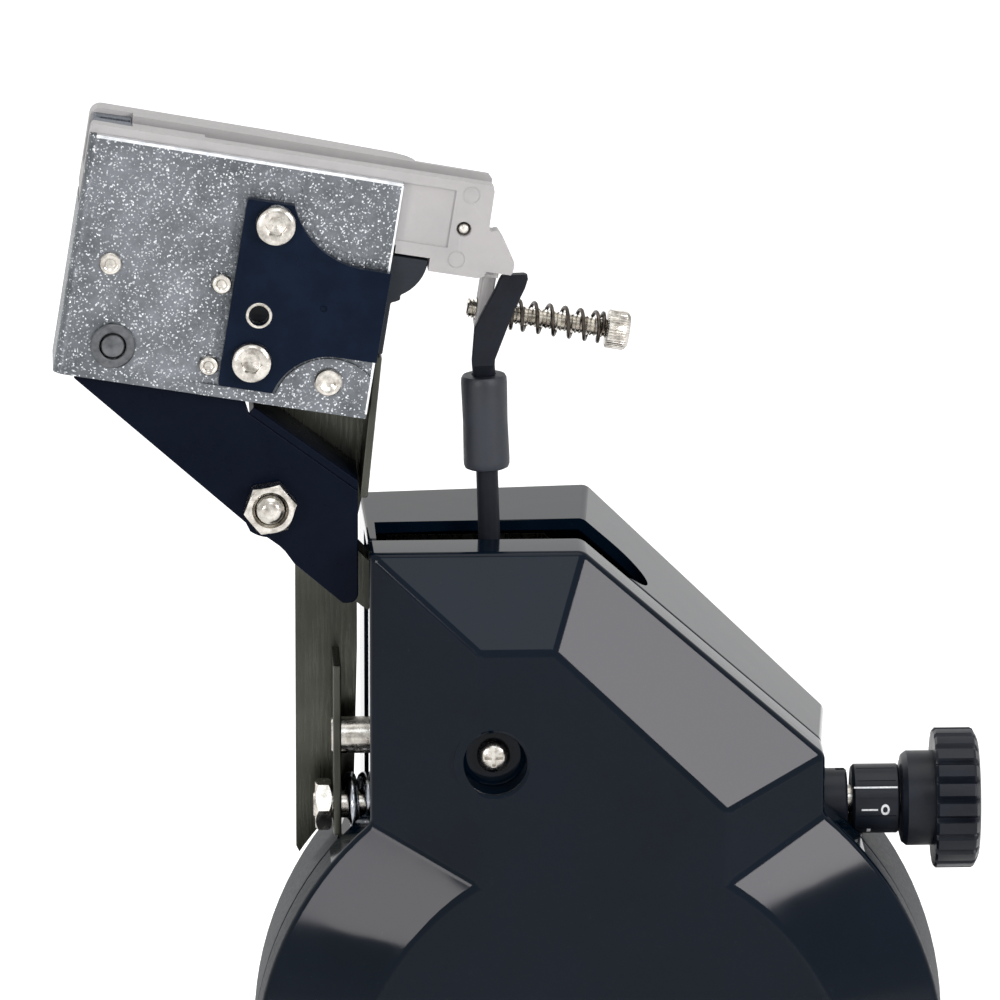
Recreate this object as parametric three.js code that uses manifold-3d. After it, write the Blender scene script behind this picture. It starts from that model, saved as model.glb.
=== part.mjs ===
// Crank-driven lock-out tension head of a racket stringing machine, in millimetres.
// X runs along the rail towards the tension knob, Y away from the user and Z up.
// Places are measured from the crank axis. The last lines set the head on its foot.

import * as THREE from 'three';
import { mergeVertices } from 'three/addons/utils/BufferGeometryUtils.js';
import Module from 'manifold-3d';

const wasm = await Module();
wasm.setup();

// Shared clearances and counts
const gap = 0.3;
const overrun = 1;
const mergeDistance = 1e-3;
const roundSides = 24;
const fineSides = 40;
const roundOutlineSides = 160;
const hexSides = 6;
const quarterTurn = Math.PI / 2;
const degree = Math.PI / 180;

// The plane that the lever and the spring rod share
const midY = -8.5;

// Housing of two plastic shells: the outline at the front rim, then at the back
const housingLeftX = -49.3;
const housingRightX = 48.1;
const housingTopZ = 125;
const slopeTopX = -3.7;
const slopeEndZ = 79.6;
const roundZ = 9.5;
const roundRadius = 74.5;
const backLeftX = -50;
const backRightX = 51.4;
const backSlopeTopX = -0.6;
const backSlopeEndZ = 75.7;
const backTopRise = 1.3;
const backRoundX = 2.2;
const backRoundZ = 5;
const backRoundRadius = 75.5;
const roundEndAngle = 20 * degree;
const housingFootX = 60;
const housingFlatZ = -66;
const housingBackY = 28.5;
const housingRimY = -28.5;
const housingFaceY = -38;
const seamY = -16;
const shellWall = 2.5;
const backBevel = 2;
const faceInsetLeft = 23;
const faceInsetTop = 19.8;
const faceInsetRight = 21.5;
const faceInsetRound = 23;
const faceSlopeShiftX = -6.5;
const faceSlopeDropZ = 9.8;
const faceFootX = 45;
const faceFootLift = 14;
const roundSteps = 30;
const leverSlotStartX = -47.5;
const leverSlotEndX = 11;
const leverSlotBackY = -1;
const leverSlotDepth = 26;
const sideWindowOuterX = -58;
const sideWindowLowZ = 58.4;
const sideWindowHighZ = 122.4;
const sideWindowBackY = 3.4;
const chainWindowHalfX = 32;
const chainWindowNearY = 12.5;
const chainWindowFarY = 18.6;

// Screw of the front shell in its counterbore
const shellScrewX = -23;
const shellScrewZ = 80.8;
const counterboreRadius = 6.7;
const counterboreDepth = 8;
const counterboreWall = 2;
const shellScrewHeadRadius = 3.5;
const shellScrewHeadHeight = 2.4;
const shellScrewRadius = 2;
const shellPostRadius = 4.5;
const shellScrewReach = 5;

// Inner frame of zinc-plated plates
const plateThickness = 2;
const frontPlateY = -20;
const rearPlateY = 20;
const plateLeftX = -46.3;
const plateRightX = 44.9;
const plateTopZ = 117;
const plateTopRightX = -10;
const plateSlopeEndZ = 68;
const plateLowZ = -52;
const plateFootX = 36;
const plateFootZ = -59.5;
const bracketPlateX = -46.4;
const bracketPlateLowZ = 47;
const bracketPlateHighZ = 118;
const knobPlateX = 43;
const knobPlateLowZ = 48;
const knobPlateHighZ = 76;
const basePlateHalfX = 38;
const basePlateTopZ = -60;
const basePlateThickness = 3;

// Rocker pivot, an M6 bolt through two fixed ears
const pivotX = -70.2;
const pivotZ = 133;
const pivotRadius = 3;
const pivotBoltFrontY = -23.3;
const pivotHeadHeight = 4;
const pivotNutHeight = 5;
const pivotHexAcross = 10;
const earRadius = 6.6;
const earNearY = -13.5;
const earThickness = 2;
const earRearY = -4;
const earRootLowZ = 105;
const earRootHighZ = 114.5;
const earTopAngle = 62 * degree;
const earLowAngle = -130 * degree;
const bushRadius = 5;

// Tension rod, its knob and the calibrated spring
const rodZ = 64.4;
const rodRadius = 3;
const rodLeftX = -61;
const rodRightX = 74.6;
const rodNutHeight = 3.5;
const rodNutAcross = 10;
const sleeveRadius = 6.65;
const sleeveLength = 5.9;
const barrelRadius = 7.5;
const barrelLength = 10.2;
const collarRadius = 10.25;
const collarLength = 7.2;
const knobRadius = 15.15;
const knobLength = 9.6;
const knobFlutes = 22;
const fluteDepth = 1.1;
const fluteWidthShare = 0.42;
const seatLeftX = 3;
const seatLength = 7;
const seatAcross = 14;
const springRadius = 5.8;
const springWire = 2.4;
const springTurns = 12;

// Rocker: rear spine, front arm and their places
const spineLeftU = 3;
const spineNearY = 1;
const spineThickness = 2;
const tailLeftX = -64.5;
const tailRightX = -52.4;
const tailRightHighX = -51.2;
const tailLowZ = 50;
const tailCorner = 2.5;
const tailClearRadius = 77;
const tailClearX = -0.4;
const tailClearZ = 7.5;
const webX = -56.8;
const webThickness = 1.7;
const webLowZ = 59.3;
const webHoleDropZ = 0.35;
const webHoleRadius = 3.75;
const webHighZ = 97;
const webNearY = -15.6;
const upperWebFootX = -51;
const upperWebFootZ = 134;
const upperWebThickness = 1.7;
const upperWebHeadU = 69.6;
const upperWebHeadW = 13;
const lobeRadius = 8.4;
const armNearY = -16.5;
const armThickness = 2;
const armTipX = -111.8;
const armTipZ = 161.1;
const armElbowX = -75.4;
const armElbowZ = 129;
const armBossRadius = 7.3;
const armBossStart = -135 * degree;
const armBossEnd = -95 * degree;
const armBossSteps = 4;
const armRimShare = 0.24;
const armChinX = -68.2;
const armChinZ = 123.8;
const armHeelX = -65;
const armHeelZ = 119.8;
const armLowX = -54.8;
const armLowZ = 111.1;
const armRightX = -51.4;
const armCornerZ = 135.8;
const armHeadX = -74.6;
const armHeadZ = 153;
const armFlangeThickness = 1.8;
const stopScrewZ = 79.8;
const stopScrewRadius = 4;
const stopScrewLeftX = -57.1;
const stopScrewRightX = -48.5;

// Gripper, measured along its own length U, across Y and up W from its lower left corner
const gripperX = -116.9;
const gripperZ = 163.2;
const gripperTilt = 9.2 * degree;
const bracketLength = 68;
const bracketHeight = 52.6;
const bracketRightDrop = 0.7;
const bracketLeftU = 0.6;
const bracketNearY = -20;
const bracketThickness = 2;
const bracketFlangeHeight = 36.5;
const bracketLipDepth = 1.1;
const bracketLipHeight = 1.8;
const recessDepth = 0.8;
const recessStartU = 27.5;
const recessFloorU = 34.7;
const recessLowW = 2.6;
const recessHighW = 48;
const upperLobeU = 62.6;
const upperLobeW = 50.8;
const upperLobeRadius = 16;
const lowerLobeU = 59.8;
const lowerLobeW = 0;
const lowerLobeRadius = 12;
const spineRightU = 70;
const spineTopW = 49;
const camLeftU = 35.6;
const camRightU = 68.2;
const camLowW = 3.1;
const camHighW = 44.1;
const camThickness = 2.5;
const camUpperCutClearance = 2.2;
const camLowerCutClearance = 0.9;
const camHoleU = 41.9;
const camHoleW = 19.4;
const camHoleRadius = 2.2;
const camScrewUpperU = 42.3;
const camScrewUpperW = 39.7;
const camScrewLowerU = 41.8;
const camScrewLowerW = 9.5;
const camScrewHeadRadius = 4.25;
const camScrewHeadHeight = 2.8;
const camScrewRadius = 2.4;
const camScrewLength = 9;
const camScrewSocketAcross = 4;
const camScrewSocketDepth = 1.6;
const studU = 12.3;
const studW = 7.9;
const studHeadRadius = 4.9;
const studRadius = 2.6;
const rivetHeadHeight = 0.8;
const rivetRadius = 1.5;
const rivets = [
  { name: 'rivet_left', u: 9.1, w: 25.5, head: 2.4 },
  { name: 'rivet_middle', u: 33.1, w: 24.7, head: 2.1 },
  { name: 'rivet_lower', u: 33.1, w: 6.7, head: 2.1 },
  { name: 'rivet_right', u: 58.8, w: 6.9, head: 3 },
];

// Guide block inside the bracket, whose end shows as a black lug
const blockLeftU = 37;
const blockRightU = 75.8;
const blockTopW = 37.7;
const blockLowW = 14;
const blockFootU = 46.5;
const blockFootW = 4;
const blockChinU = 69.4;
const blockChinW = 25.4;
const blockNoseU = 71.2;
const blockNoseW = 26.2;
const blockLugW = 35.7;
const blockLipU = 75.4;
const blockLipW = 32.5;

// Jaw casting: two rails with the string groove between them, a right body and its leg
const castingLeftU = 0.5;
const castingRearEndU = 70.5;
const castingLowW = 38;
const castingTopLeftW = 55.3;
const castingTopRightW = 54.1;
const frontTopLeftW = 54.4;
const frontTopRightW = 53.8;
const castingCorner = 2.3;
const castingFloorW = 44;
const castingNearY = -17.7;
const castingFarY = 0.7;
const grooveNearY = -13.7;
const grooveLipY = -11.2;
const grooveLipEndU = 25;
const grooveFarY = -7.4;
const rearWallThickness = 1.2;
const railBendU = 40;
const railBendEndU = 66;
const railEndFarY = -1.2;
const bodyLeftU = 68.5;
const bodyTopRightU = 87.2;
const bodyNotchU = 87.5;
const bodyNotchW = 45;
const bodyDipU = 87.9;
const bodyDipW = 44;
const bulgeTopU = 89.4;
const bulgeTopW = 44.6;
const bulgeRightU = 94.1;
const bulgeRightW = 37.5;
const bulgeLowW = 35.2;
const bodyLowW = 36.3;
const bodyHeelU = 86.8;
const bodyHeelW = 33.5;
const bodyRearTopU = 85;
const bodyRearShoulderW = 38.5;
const bodyFarY = -1;
const legNearY = -10;
const legLeftU = 88.4;
const legRightU = 91.3;
const legLowW = 20.5;
const bodyRecessRightU = 79.4;
const bodyRecessLowW = 39.1;
const bodyRecessHighW = 51.7;
const bodyRecessDepth = 0.5;
const castingPinU = 82.2;
const castingPinW = 43.6;
const castingPinRadius = 1.2;
const castingPinLength = 3.2;

// String jaws in their wedge pocket
const jawY = -9.4;
const pocketAngle = 3 * degree;
const pocketHalf = 4.4;
const pocketEndU = 9.5;
const pocketDepthU = 33;
const lipLowW = 49.5;
const jawLeftU = 1.2;
const jawLength = 24;
const jawHalfGap = 1.1;
const jawTopW = 54.3;

// Trip screw with its spring, along U through the leg
const tripY = -5.5;
const tripW = 24.2;
const tripLeftU = 86.4;
const tripHeadU = 116.6;
const tripHeadLength = 4.9;
const tripHeadRadius = 4.25;
const tripSocketAcross = 4;
const tripSocketDepth = 2.5;
const tripRadius = 2.15;
const tripSpringRadius = 3.1;
const tripSpringWire = 0.85;
const tripSpringTurns = 7;
const tripSpringStartU = 95.25;

// Brake lever, measured from its pin, with the rod leaning to the left
const leverX = -22;
const leverZ = 92;
const leverLean = -1.9 * degree;
const leverPinRadius = 2.5;
const hubRadius = 7;
const hubNearY = -12;
const hubFarY = 12;
const leverRodRadius = 2.35;
const leverRodStart = 4;
const neckHigh = 71;
const bladeNearY = -14;
const bladeThickness = 2.5;
const bladeHalf = 2.55;
const bladeBendX = -1.9;
const bladeBendZ = 79;
const bladeBendRightX = 5.9;
const bladeTopLeftX = 4.2;
const bladeTopRightX = 10;
const bladeTopZ = 89.9;
const bladeCorner = 1.5;
const tabLeftX = 3.2;
const tabThickness = 2.2;
const tabLowZ = 75;
const tabHighZ = 83.3;
const tabFarY = -1.5;
const tabSlotHalf = 2.9;
const tabSlotLowZ = 76.8;
const gripLow = 46.8;
const gripHigh = 67.4;
const gripRadius = 4.95;
const shoeArmNearY = 4;
const shoeArmFarY = 12;
const shoeArmWidth = 9;
const shoeGap = 1.5;
const shoeThickness = 4.5;
const shoeStartAngle = 118 * degree;
const shoeEndAngle = 146 * degree;
const shoeSteps = 8;

// Crank, brake drum, sprocket and idlers
const shaftRadius = 6;
const shaftFrontY = -52.5;
const shaftBackY = 25;
const drumRadius = 30;
const drumNearY = 3;
const drumFarY = 13;
const drumRim = 4;
const drumWeb = 4;
const drumHubRadius = 10;
const sprocketTeeth = 14;
const sprocketRadius = 19;
const sprocketToothDepth = 3;
const sprocketNearY = 14;
const sprocketFarY = 17;
const bearingRadius = 10;
const bearingOverhang = 1.6;
const crankLength = 85;
const crankNearY = -47;
const crankThickness = 6;
const crankHubRadius = 12;
const crankEndRadius = 9;
const crankNutAcross = 17;
const crankNutHeight = 4.5;
const gripPinRadius = 4;
const crankGripLength = 72;
const crankGripRadius = 12;
const crankGripWaistShare = 0.82;
const shaftHoleClearance = 1.5;
const idlerX = 25;
const idlerZ = -46;
const idlerRadius = 9;
const idlerPinRadius = 3;
const idlerFlange = 1.5;

// Rail saddle under the housing
const saddleHalfX = 62;
const saddleHalfY = 30;
const saddleWall = 3;
const saddleLowZ = -105;
const padStartX = 42;
const padEndX = 60;
const padHalfY = 22;
const padThickness = 3;
const saddleScrewX = 28;
const saddleScrewY = -8;
const saddleScrewRadius = 2.5;
const saddleScrewHeadRadius = 4.5;
const saddleScrewHeadHeight = 2.6;

// Colours, roughness and metalness of the finishes
const finishes = {
  glossBlack: { color: 0x11151b, roughness: 0.18, metalness: 0 },
  knobBlack: { color: 0x1d1f24, roughness: 0.45, metalness: 0 },
  blockBlack: { color: 0x16191d, roughness: 0.55, metalness: 0 },
  rubber: { color: 0x33373e, roughness: 0.75, metalness: 0 },
  blackSteel: { color: 0x141b26, roughness: 0.42, metalness: 0.4 },
  zinc: { color: 0x8a8f93, roughness: 0.38, metalness: 0.9 },
  casting: { color: 0xc8c3c0, roughness: 0.5, metalness: 0.35 },
  nickel: { color: 0xcfc8b8, roughness: 0.3, metalness: 0.95 },
  springSteel: { color: 0x4a4640, roughness: 0.4, metalness: 0.9 },
  darkSteel: { color: 0x4c5056, roughness: 0.6, metalness: 0.7 },
  iron: { color: 0x5d6064, roughness: 0.5, metalness: 0.85 },
  bronze: { color: 0x8a6a3a, roughness: 0.45, metalness: 0.85 },
  aluminium: { color: 0xa9adb0, roughness: 0.4, metalness: 0.9 },
  white: { color: 0xd8d8d2, roughness: 0.5, metalness: 0 },
};

// Turns a closed geometry into a solid for joining and cutting
function bodyOf(shape) {
  if (!shape.isBufferGeometry) {
    return shape;
  }
  const bare = new THREE.BufferGeometry();
  bare.setAttribute('position', shape.getAttribute('position').clone());
  if (shape.index) {
    bare.setIndex(shape.index.clone());
  }
  const merged = mergeVertices(bare, mergeDistance);
  return new wasm.Manifold(new wasm.Mesh({
    numProp: 3,
    vertProperties: new Float32Array(merged.getAttribute('position').array),
    triVerts: new Uint32Array(merged.index.array),
  }));
}

function geometryOf(shape) {
  if (shape.isBufferGeometry) {
    return shape;
  }
  const mesh = shape.getMesh();
  const geometry = new THREE.BufferGeometry();
  const corners = new Float32Array(mesh.vertProperties);
  geometry.setAttribute('position', new THREE.BufferAttribute(corners, 3));
  geometry.setIndex(new THREE.BufferAttribute(new Uint32Array(mesh.triVerts), 1));
  geometry.computeVertexNormals();
  return geometry;
}

function join(...shapes) {
  return shapes.map(bodyOf).reduce((sum, next) => sum.add(next));
}

function carve(shape, ...tools) {
  return tools.map(bodyOf).reduce((rest, tool) => rest.subtract(tool), bodyOf(shape));
}

function common(first, second) {
  return bodyOf(first).intersect(bodyOf(second));
}

function block(lowX, highX, lowY, highY, lowZ, highZ) {
  const geometry = new THREE.BoxGeometry(highX - lowX, highY - lowY, highZ - lowZ);
  return geometry.translate((lowX + highX) / 2, (lowY + highY) / 2, (lowZ + highZ) / 2);
}

// Round bars along X, Y or Z; six sides make a hexagon bar
function barX(radius, startX, endX, y, z, sides = roundSides) {
  const geometry = new THREE.CylinderGeometry(radius, radius, endX - startX, sides);
  return geometry.rotateZ(-quarterTurn).translate((startX + endX) / 2, y, z);
}

function barY(radius, startY, endY, x, z, sides = roundSides) {
  const geometry = new THREE.CylinderGeometry(radius, radius, endY - startY, sides);
  return geometry.translate(x, (startY + endY) / 2, z);
}

function barZ(radius, startZ, endZ, x, y, sides = roundSides) {
  const geometry = new THREE.CylinderGeometry(radius, radius, endZ - startZ, sides);
  return geometry.rotateX(quarterTurn).translate(x, y, (startZ + endZ) / 2);
}

function hexRadius(across) {
  return across / Math.sqrt(3);
}

function shapeOf(points) {
  return new THREE.Shape(points.map(([x, z]) => new THREE.Vector2(x, z)));
}

// A flat plate: an outline in X and Z with its thickness along Y
function plateY(points, nearY, farY) {
  const depth = farY - nearY;
  const geometry = new THREE.ExtrudeGeometry(shapeOf(points), { depth, bevelEnabled: false });
  return geometry.rotateX(quarterTurn).translate(0, farY, 0);
}

// A flat plate: an outline in X and Y with its thickness along Z
function plateZ(points, lowZ, highZ) {
  const depth = highZ - lowZ;
  const geometry = new THREE.ExtrudeGeometry(shapeOf(points), { depth, bevelEnabled: false });
  return geometry.translate(0, 0, lowZ);
}

function arc(centreX, centreZ, radius, startAngle, endAngle, steps) {
  const points = [];
  for (let i = 0; i <= steps; i += 1) {
    const angle = startAngle + ((endAngle - startAngle) * i) / steps;
    points.push([centreX + radius * Math.cos(angle), centreZ + radius * Math.sin(angle)]);
  }
  return points;
}

// Moves an anticlockwise outline inwards by a distance
function inset(points, distance) {
  const count = points.length;
  const outward = points.map(([x, z], i) => {
    const [nextX, nextZ] = points[(i + 1) % count];
    const length = Math.hypot(nextX - x, nextZ - z);
    return [(nextZ - z) / length, (x - nextX) / length];
  });
  return points.map(([x, z], i) => {
    const [ax, az] = outward[(i + count - 1) % count];
    const [bx, bz] = outward[i];
    const reach = distance / (1 + ax * bx + az * bz);
    return [x - reach * (ax + bx), z - reach * (az + bz)];
  });
}

// Joins like outlines at several Y places, from near to far, into one closed body
function loft(sections) {
  const count = sections[0].points.length;
  const positions = [];
  const indices = [];
  sections.forEach(({ y, points }) => {
    points.forEach(([x, z]) => positions.push(x, y, z));
  });
  const cap = THREE.ShapeUtils.triangulateShape(shapeOf(sections[0].points).getPoints(), []);
  const last = (sections.length - 1) * count;
  cap.forEach(([a, b, c]) => {
    indices.push(a, b, c);
    indices.push(last + a, last + c, last + b);
  });
  for (let s = 0; s < sections.length - 1; s += 1) {
    for (let i = 0; i < count; i += 1) {
      const next = (i + 1) % count;
      const near = s * count;
      const far = near + count;
      indices.push(near + i, far + i, near + next);
      indices.push(near + next, far + i, far + next);
    }
  }
  const geometry = new THREE.BufferGeometry();
  geometry.setAttribute('position', new THREE.Float32BufferAttribute(positions, 3));
  geometry.setIndex(indices);
  return geometry;
}

// A turned ring or disc about the Y axis from a closed profile of radius and Y
function turnedY(profile, sides = fineSides) {
  const points = profile.map(([radius, y]) => new THREE.Vector2(radius, y));
  points.push(points[0].clone());
  return new THREE.LatheGeometry(points, sides);
}

// A coil spring along X as one tube, with both wire ends run straight out to the seats
function coil(radius, wire, turns, length) {
  const stepsPerTurn = 8;
  const sides = 5;
  const wireRadius = wire / 2;
  const steps = Math.round(turns * stepsPerTurn);
  const places = [[0, 0]];
  for (let i = 0; i <= steps; i += 1) {
    places.push([(i / stepsPerTurn) * 2 * Math.PI, wire + ((length - 2 * wire) * i) / steps]);
  }
  places.push([turns * 2 * Math.PI, length]);
  const centres = places.map(([angle, along]) => (
    new THREE.Vector3(along, radius * Math.cos(angle), radius * Math.sin(angle))
  ));
  const positions = [];
  const indices = [];
  centres.forEach((centre, i) => {
    const angle = places[i][0];
    const before = centres[Math.max(i - 1, 0)];
    const after = centres[Math.min(i + 1, centres.length - 1)];
    const along = after.clone().sub(before).normalize();
    const out = new THREE.Vector3(0, Math.cos(angle), Math.sin(angle));
    const side = along.clone().cross(out).normalize();
    for (let k = 0; k < sides; k += 1) {
      const turn = (k / sides) * 2 * Math.PI;
      const point = centre.clone();
      point.addScaledVector(out, wireRadius * Math.cos(turn));
      point.addScaledVector(side, wireRadius * Math.sin(turn));
      positions.push(point.x, point.y, point.z);
    }
  });
  for (let i = 0; i < centres.length - 1; i += 1) {
    for (let k = 0; k < sides; k += 1) {
      const next = (k + 1) % sides;
      const near = i * sides;
      const far = near + sides;
      indices.push(near + k, near + next, far + k);
      indices.push(near + next, far + next, far + k);
    }
  }
  const end = (centres.length - 1) * sides;
  for (let k = 1; k < sides - 1; k += 1) {
    indices.push(0, k + 1, k);
    indices.push(end, end + k, end + k + 1);
  }
  const geometry = new THREE.BufferGeometry();
  geometry.setAttribute('position', new THREE.Float32BufferAttribute(positions, 3));
  geometry.setIndex(indices);
  let least = Infinity;
  centres.forEach((centre, i) => {
    centres.slice(i + stepsPerTurn / 2).forEach((other) => {
      least = Math.min(least, centre.distanceTo(other) - wire);
    });
  });
  console.log(`least gap of a coil to itself: ${least.toFixed(2)} mm`);
  return geometry;
}

const whole = new THREE.Group();
const gripper = new THREE.Group();
gripper.position.set(gripperX, 0, gripperZ);
gripper.rotation.y = gripperTilt;
whole.add(gripper);

function piece(name, shape, finish, parent = whole) {
  const mesh = new THREE.Mesh(geometryOf(shape), new THREE.MeshStandardMaterial(finish));
  mesh.name = name;
  parent.add(mesh);
  return mesh;
}

// The place of a point of the gripper's own U and W in X and Z, and back
function fromGripper(u, w) {
  const cos = Math.cos(gripperTilt);
  const sin = Math.sin(gripperTilt);
  return [gripperX + u * cos + w * sin, gripperZ - u * sin + w * cos];
}

// Outline of the housing in X and Z, anticlockwise from the left end of its round part
function housingOutline(sizes) {
  const { leftX, rightX, topZ, rise, slopeX, slopeZ, centreX, centreZ, radius } = sizes;
  const { footX, footZ } = sizes;
  const leftAngle = Math.PI - Math.acos((centreX - leftX) / radius);
  const rightAngle = 2 * Math.PI + Math.acos((rightX - centreX) / radius);
  const leftEnd = Math.PI + roundEndAngle;
  const rightEnd = 2 * Math.PI - roundEndAngle;
  return [
    ...arc(centreX, centreZ, radius, leftAngle, leftEnd, roundSteps / 2),
    [-footX, footZ],
    [footX, footZ],
    ...arc(centreX, centreZ, radius, rightEnd, rightAngle, roundSteps / 2),
    [rightX, slopeZ],
    [slopeX, topZ + rise],
    [leftX, topZ],
  ];
}

const rimOutline = housingOutline({
  leftX: housingLeftX,
  rightX: housingRightX,
  topZ: housingTopZ,
  rise: 0,
  slopeX: slopeTopX,
  slopeZ: slopeEndZ,
  centreX: 0,
  centreZ: roundZ,
  radius: roundRadius,
  footX: housingFootX,
  footZ: housingFlatZ,
});
const backOutline = housingOutline({
  leftX: backLeftX,
  rightX: backRightX,
  topZ: housingTopZ,
  rise: backTopRise,
  slopeX: backSlopeTopX,
  slopeZ: backSlopeEndZ,
  centreX: backRoundX,
  centreZ: backRoundZ,
  radius: backRoundRadius,
  footX: housingFootX,
  footZ: housingFlatZ,
});
const faceOutline = housingOutline({
  leftX: housingLeftX + faceInsetLeft,
  rightX: housingRightX - faceInsetRight,
  topZ: housingTopZ - faceInsetTop,
  rise: 0,
  slopeX: slopeTopX + faceSlopeShiftX,
  slopeZ: slopeEndZ - faceSlopeDropZ,
  centreX: 0,
  centreZ: roundZ,
  radius: roundRadius - faceInsetRound,
  footX: faceFootX,
  footZ: housingFlatZ + faceFootLift,
});

// X places along the knob's axis, one piece after another
const sleeveStartX = knobPlateX + plateThickness + gap;
const barrelStartX = housingRightX + sleeveLength + overrun;
const collarStartX = barrelStartX + barrelLength + gap;
const knobStartX = collarStartX + collarLength;
const knobEndX = knobStartX + knobLength;

function frontShell() {
  const outer = loft([
    { y: housingFaceY, points: faceOutline },
    { y: housingRimY, points: rimOutline },
    { y: seamY, points: rimOutline },
  ]);
  const cavity = inset(rimOutline, shellWall);
  const inner = loft([
    { y: housingFaceY + shellWall, points: inset(faceOutline, shellWall) },
    { y: housingRimY + shellWall / 2, points: cavity },
    { y: seamY + overrun, points: cavity },
  ]);
  const floorY = housingFaceY + counterboreDepth;
  const bossRadius = counterboreRadius + counterboreWall;
  const boss = common(
    barY(bossRadius, housingFaceY, floorY + shellWall, shellScrewX, shellScrewZ, fineSides),
    outer,
  );
  const holeRadius = shaftRadius + shaftHoleClearance;
  return carve(
    join(carve(outer, inner), boss),
    barY(counterboreRadius, housingFaceY - overrun, floorY, shellScrewX, shellScrewZ, fineSides),
    barY(shellScrewRadius + gap, floorY - overrun, seamY, shellScrewX, shellScrewZ),
    barY(holeRadius, housingFaceY - overrun, seamY, 0, 0, fineSides),
  );
}

function saddleScrewHoles() {
  const lowZ = housingFlatZ - saddleWall - gap - overrun;
  const highZ = basePlateTopZ + overrun;
  return [-saddleScrewX, saddleScrewX].map((x) => (
    barZ(saddleScrewRadius + gap, lowZ, highZ, x, saddleScrewY)
  ));
}

function rearShell() {
  const startY = seamY + gap;
  const innerBackY = housingBackY - shellWall;
  const outer = loft([
    { y: startY, points: rimOutline },
    { y: housingBackY - backBevel, points: backOutline },
    { y: housingBackY, points: inset(backOutline, backBevel) },
  ]);
  const inner = loft([
    { y: startY - overrun, points: inset(rimOutline, shellWall) },
    { y: innerBackY, points: inset(backOutline, shellWall) },
  ]);
  const slot = block(
    leverSlotStartX,
    leverSlotEndX,
    startY - overrun,
    leverSlotBackY,
    housingTopZ - leverSlotDepth,
    housingTopZ + overrun,
  );
  const window = block(
    sideWindowOuterX,
    backLeftX + shellWall + overrun,
    startY - overrun,
    sideWindowBackY,
    sideWindowLowZ,
    sideWindowHighZ,
  );
  const chainWindow = block(
    -chainWindowHalfX,
    chainWindowHalfX,
    chainWindowNearY,
    chainWindowFarY,
    housingFlatZ - overrun,
    housingFlatZ + shellWall + overrun,
  );
  const holeStartX = housingRightX - shellWall - overrun;
  const knobHole = barX(sleeveRadius + gap, holeStartX, collarStartX, midY, rodZ, fineSides);
  const barrelSpace = barX(
    barrelRadius + gap,
    barrelStartX - gap,
    collarStartX,
    midY,
    rodZ,
    fineSides,
  );
  const collarRoom = collarRadius + gap;
  const collarSpace = barX(collarRoom, collarStartX - gap, knobEndX, midY, rodZ, fineSides);
  const knobRoom = knobRadius + gap;
  const knobSpace = barX(knobRoom, knobStartX - gap, knobEndX + knobLength, midY, rodZ, fineSides);
  const nutRoom = hexRadius(rodNutAcross) + gap;
  const nutSpace = barX(nutRoom, rodLeftX - knobLength, webX, midY, rodZ);
  return carve(
    outer,
    inner,
    slot,
    window,
    chainWindow,
    knobHole,
    barrelSpace,
    collarSpace,
    knobSpace,
    nutSpace,
    ...saddleScrewHoles(),
  );
}

// Outline of the two inner plates in X and Z
function plateOutline() {
  return [
    [plateLeftX, plateLowZ],
    [-plateFootX, plateFootZ],
    [plateFootX, plateFootZ],
    [plateRightX, plateLowZ],
    [plateRightX, plateSlopeEndZ],
    [plateTopRightX, plateTopZ],
    [plateLeftX, plateTopZ],
  ];
}

function bearingHole(nearY, farY) {
  return barY(bearingRadius + gap, nearY, farY, 0, 0, fineSides);
}

function leverPinHole(nearY, farY) {
  return barY(leverPinRadius + gap, nearY, farY, leverX, leverZ);
}

function frontPlate() {
  const nearY = frontPlateY;
  const farY = nearY + plateThickness;
  return carve(
    plateY(plateOutline(), nearY, farY),
    bearingHole(nearY - overrun, farY + overrun),
    leverPinHole(nearY - overrun, farY + overrun),
  );
}

function rearPlate() {
  const nearY = rearPlateY;
  const farY = nearY + plateThickness;
  return carve(
    plateY(plateOutline(), nearY, farY),
    bearingHole(nearY - overrun, farY + overrun),
    leverPinHole(nearY - overrun, farY + overrun),
  );
}

// Y places of what stands between the two plates
const betweenNearY = frontPlateY + plateThickness + gap;
const betweenFarY = rearPlateY - gap;

// Left cross plate with the two fixed ears that carry the rocker's pivot
function pivotBracket() {
  const rightX = bracketPlateX + plateThickness;
  const base = block(
    bracketPlateX,
    rightX,
    betweenNearY,
    betweenFarY,
    bracketPlateLowZ,
    bracketPlateHighZ,
  );
  const earOutline = [
    [rightX, earRootLowZ],
    [rightX, earRootHighZ],
    [pivotX + earRadius * Math.cos(earTopAngle), pivotZ + earRadius * Math.sin(earTopAngle)],
    [pivotX + earRadius * Math.cos(earLowAngle), pivotZ + earRadius * Math.sin(earLowAngle)],
  ];
  const ears = [earNearY, earRearY].map((nearY) => join(
    plateY(earOutline, nearY, nearY + earThickness),
    barY(earRadius, nearY, nearY + earThickness, pivotX, pivotZ),
  ));
  const springHoleRadius = springRadius + springWire / 2 + gap;
  return carve(
    join(base, ...ears),
    barY(pivotRadius + gap, earNearY - overrun, earRearY + earThickness + overrun, pivotX, pivotZ),
    barX(springHoleRadius, bracketPlateX - overrun, rightX + overrun, midY, rodZ),
  );
}

function knobBracket() {
  const rightX = knobPlateX + plateThickness;
  const plate = block(
    knobPlateX,
    rightX,
    betweenNearY,
    betweenFarY,
    knobPlateLowZ,
    knobPlateHighZ,
  );
  return carve(plate, barX(rodRadius + gap, knobPlateX - overrun, rightX + overrun, midY, rodZ));
}

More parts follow.
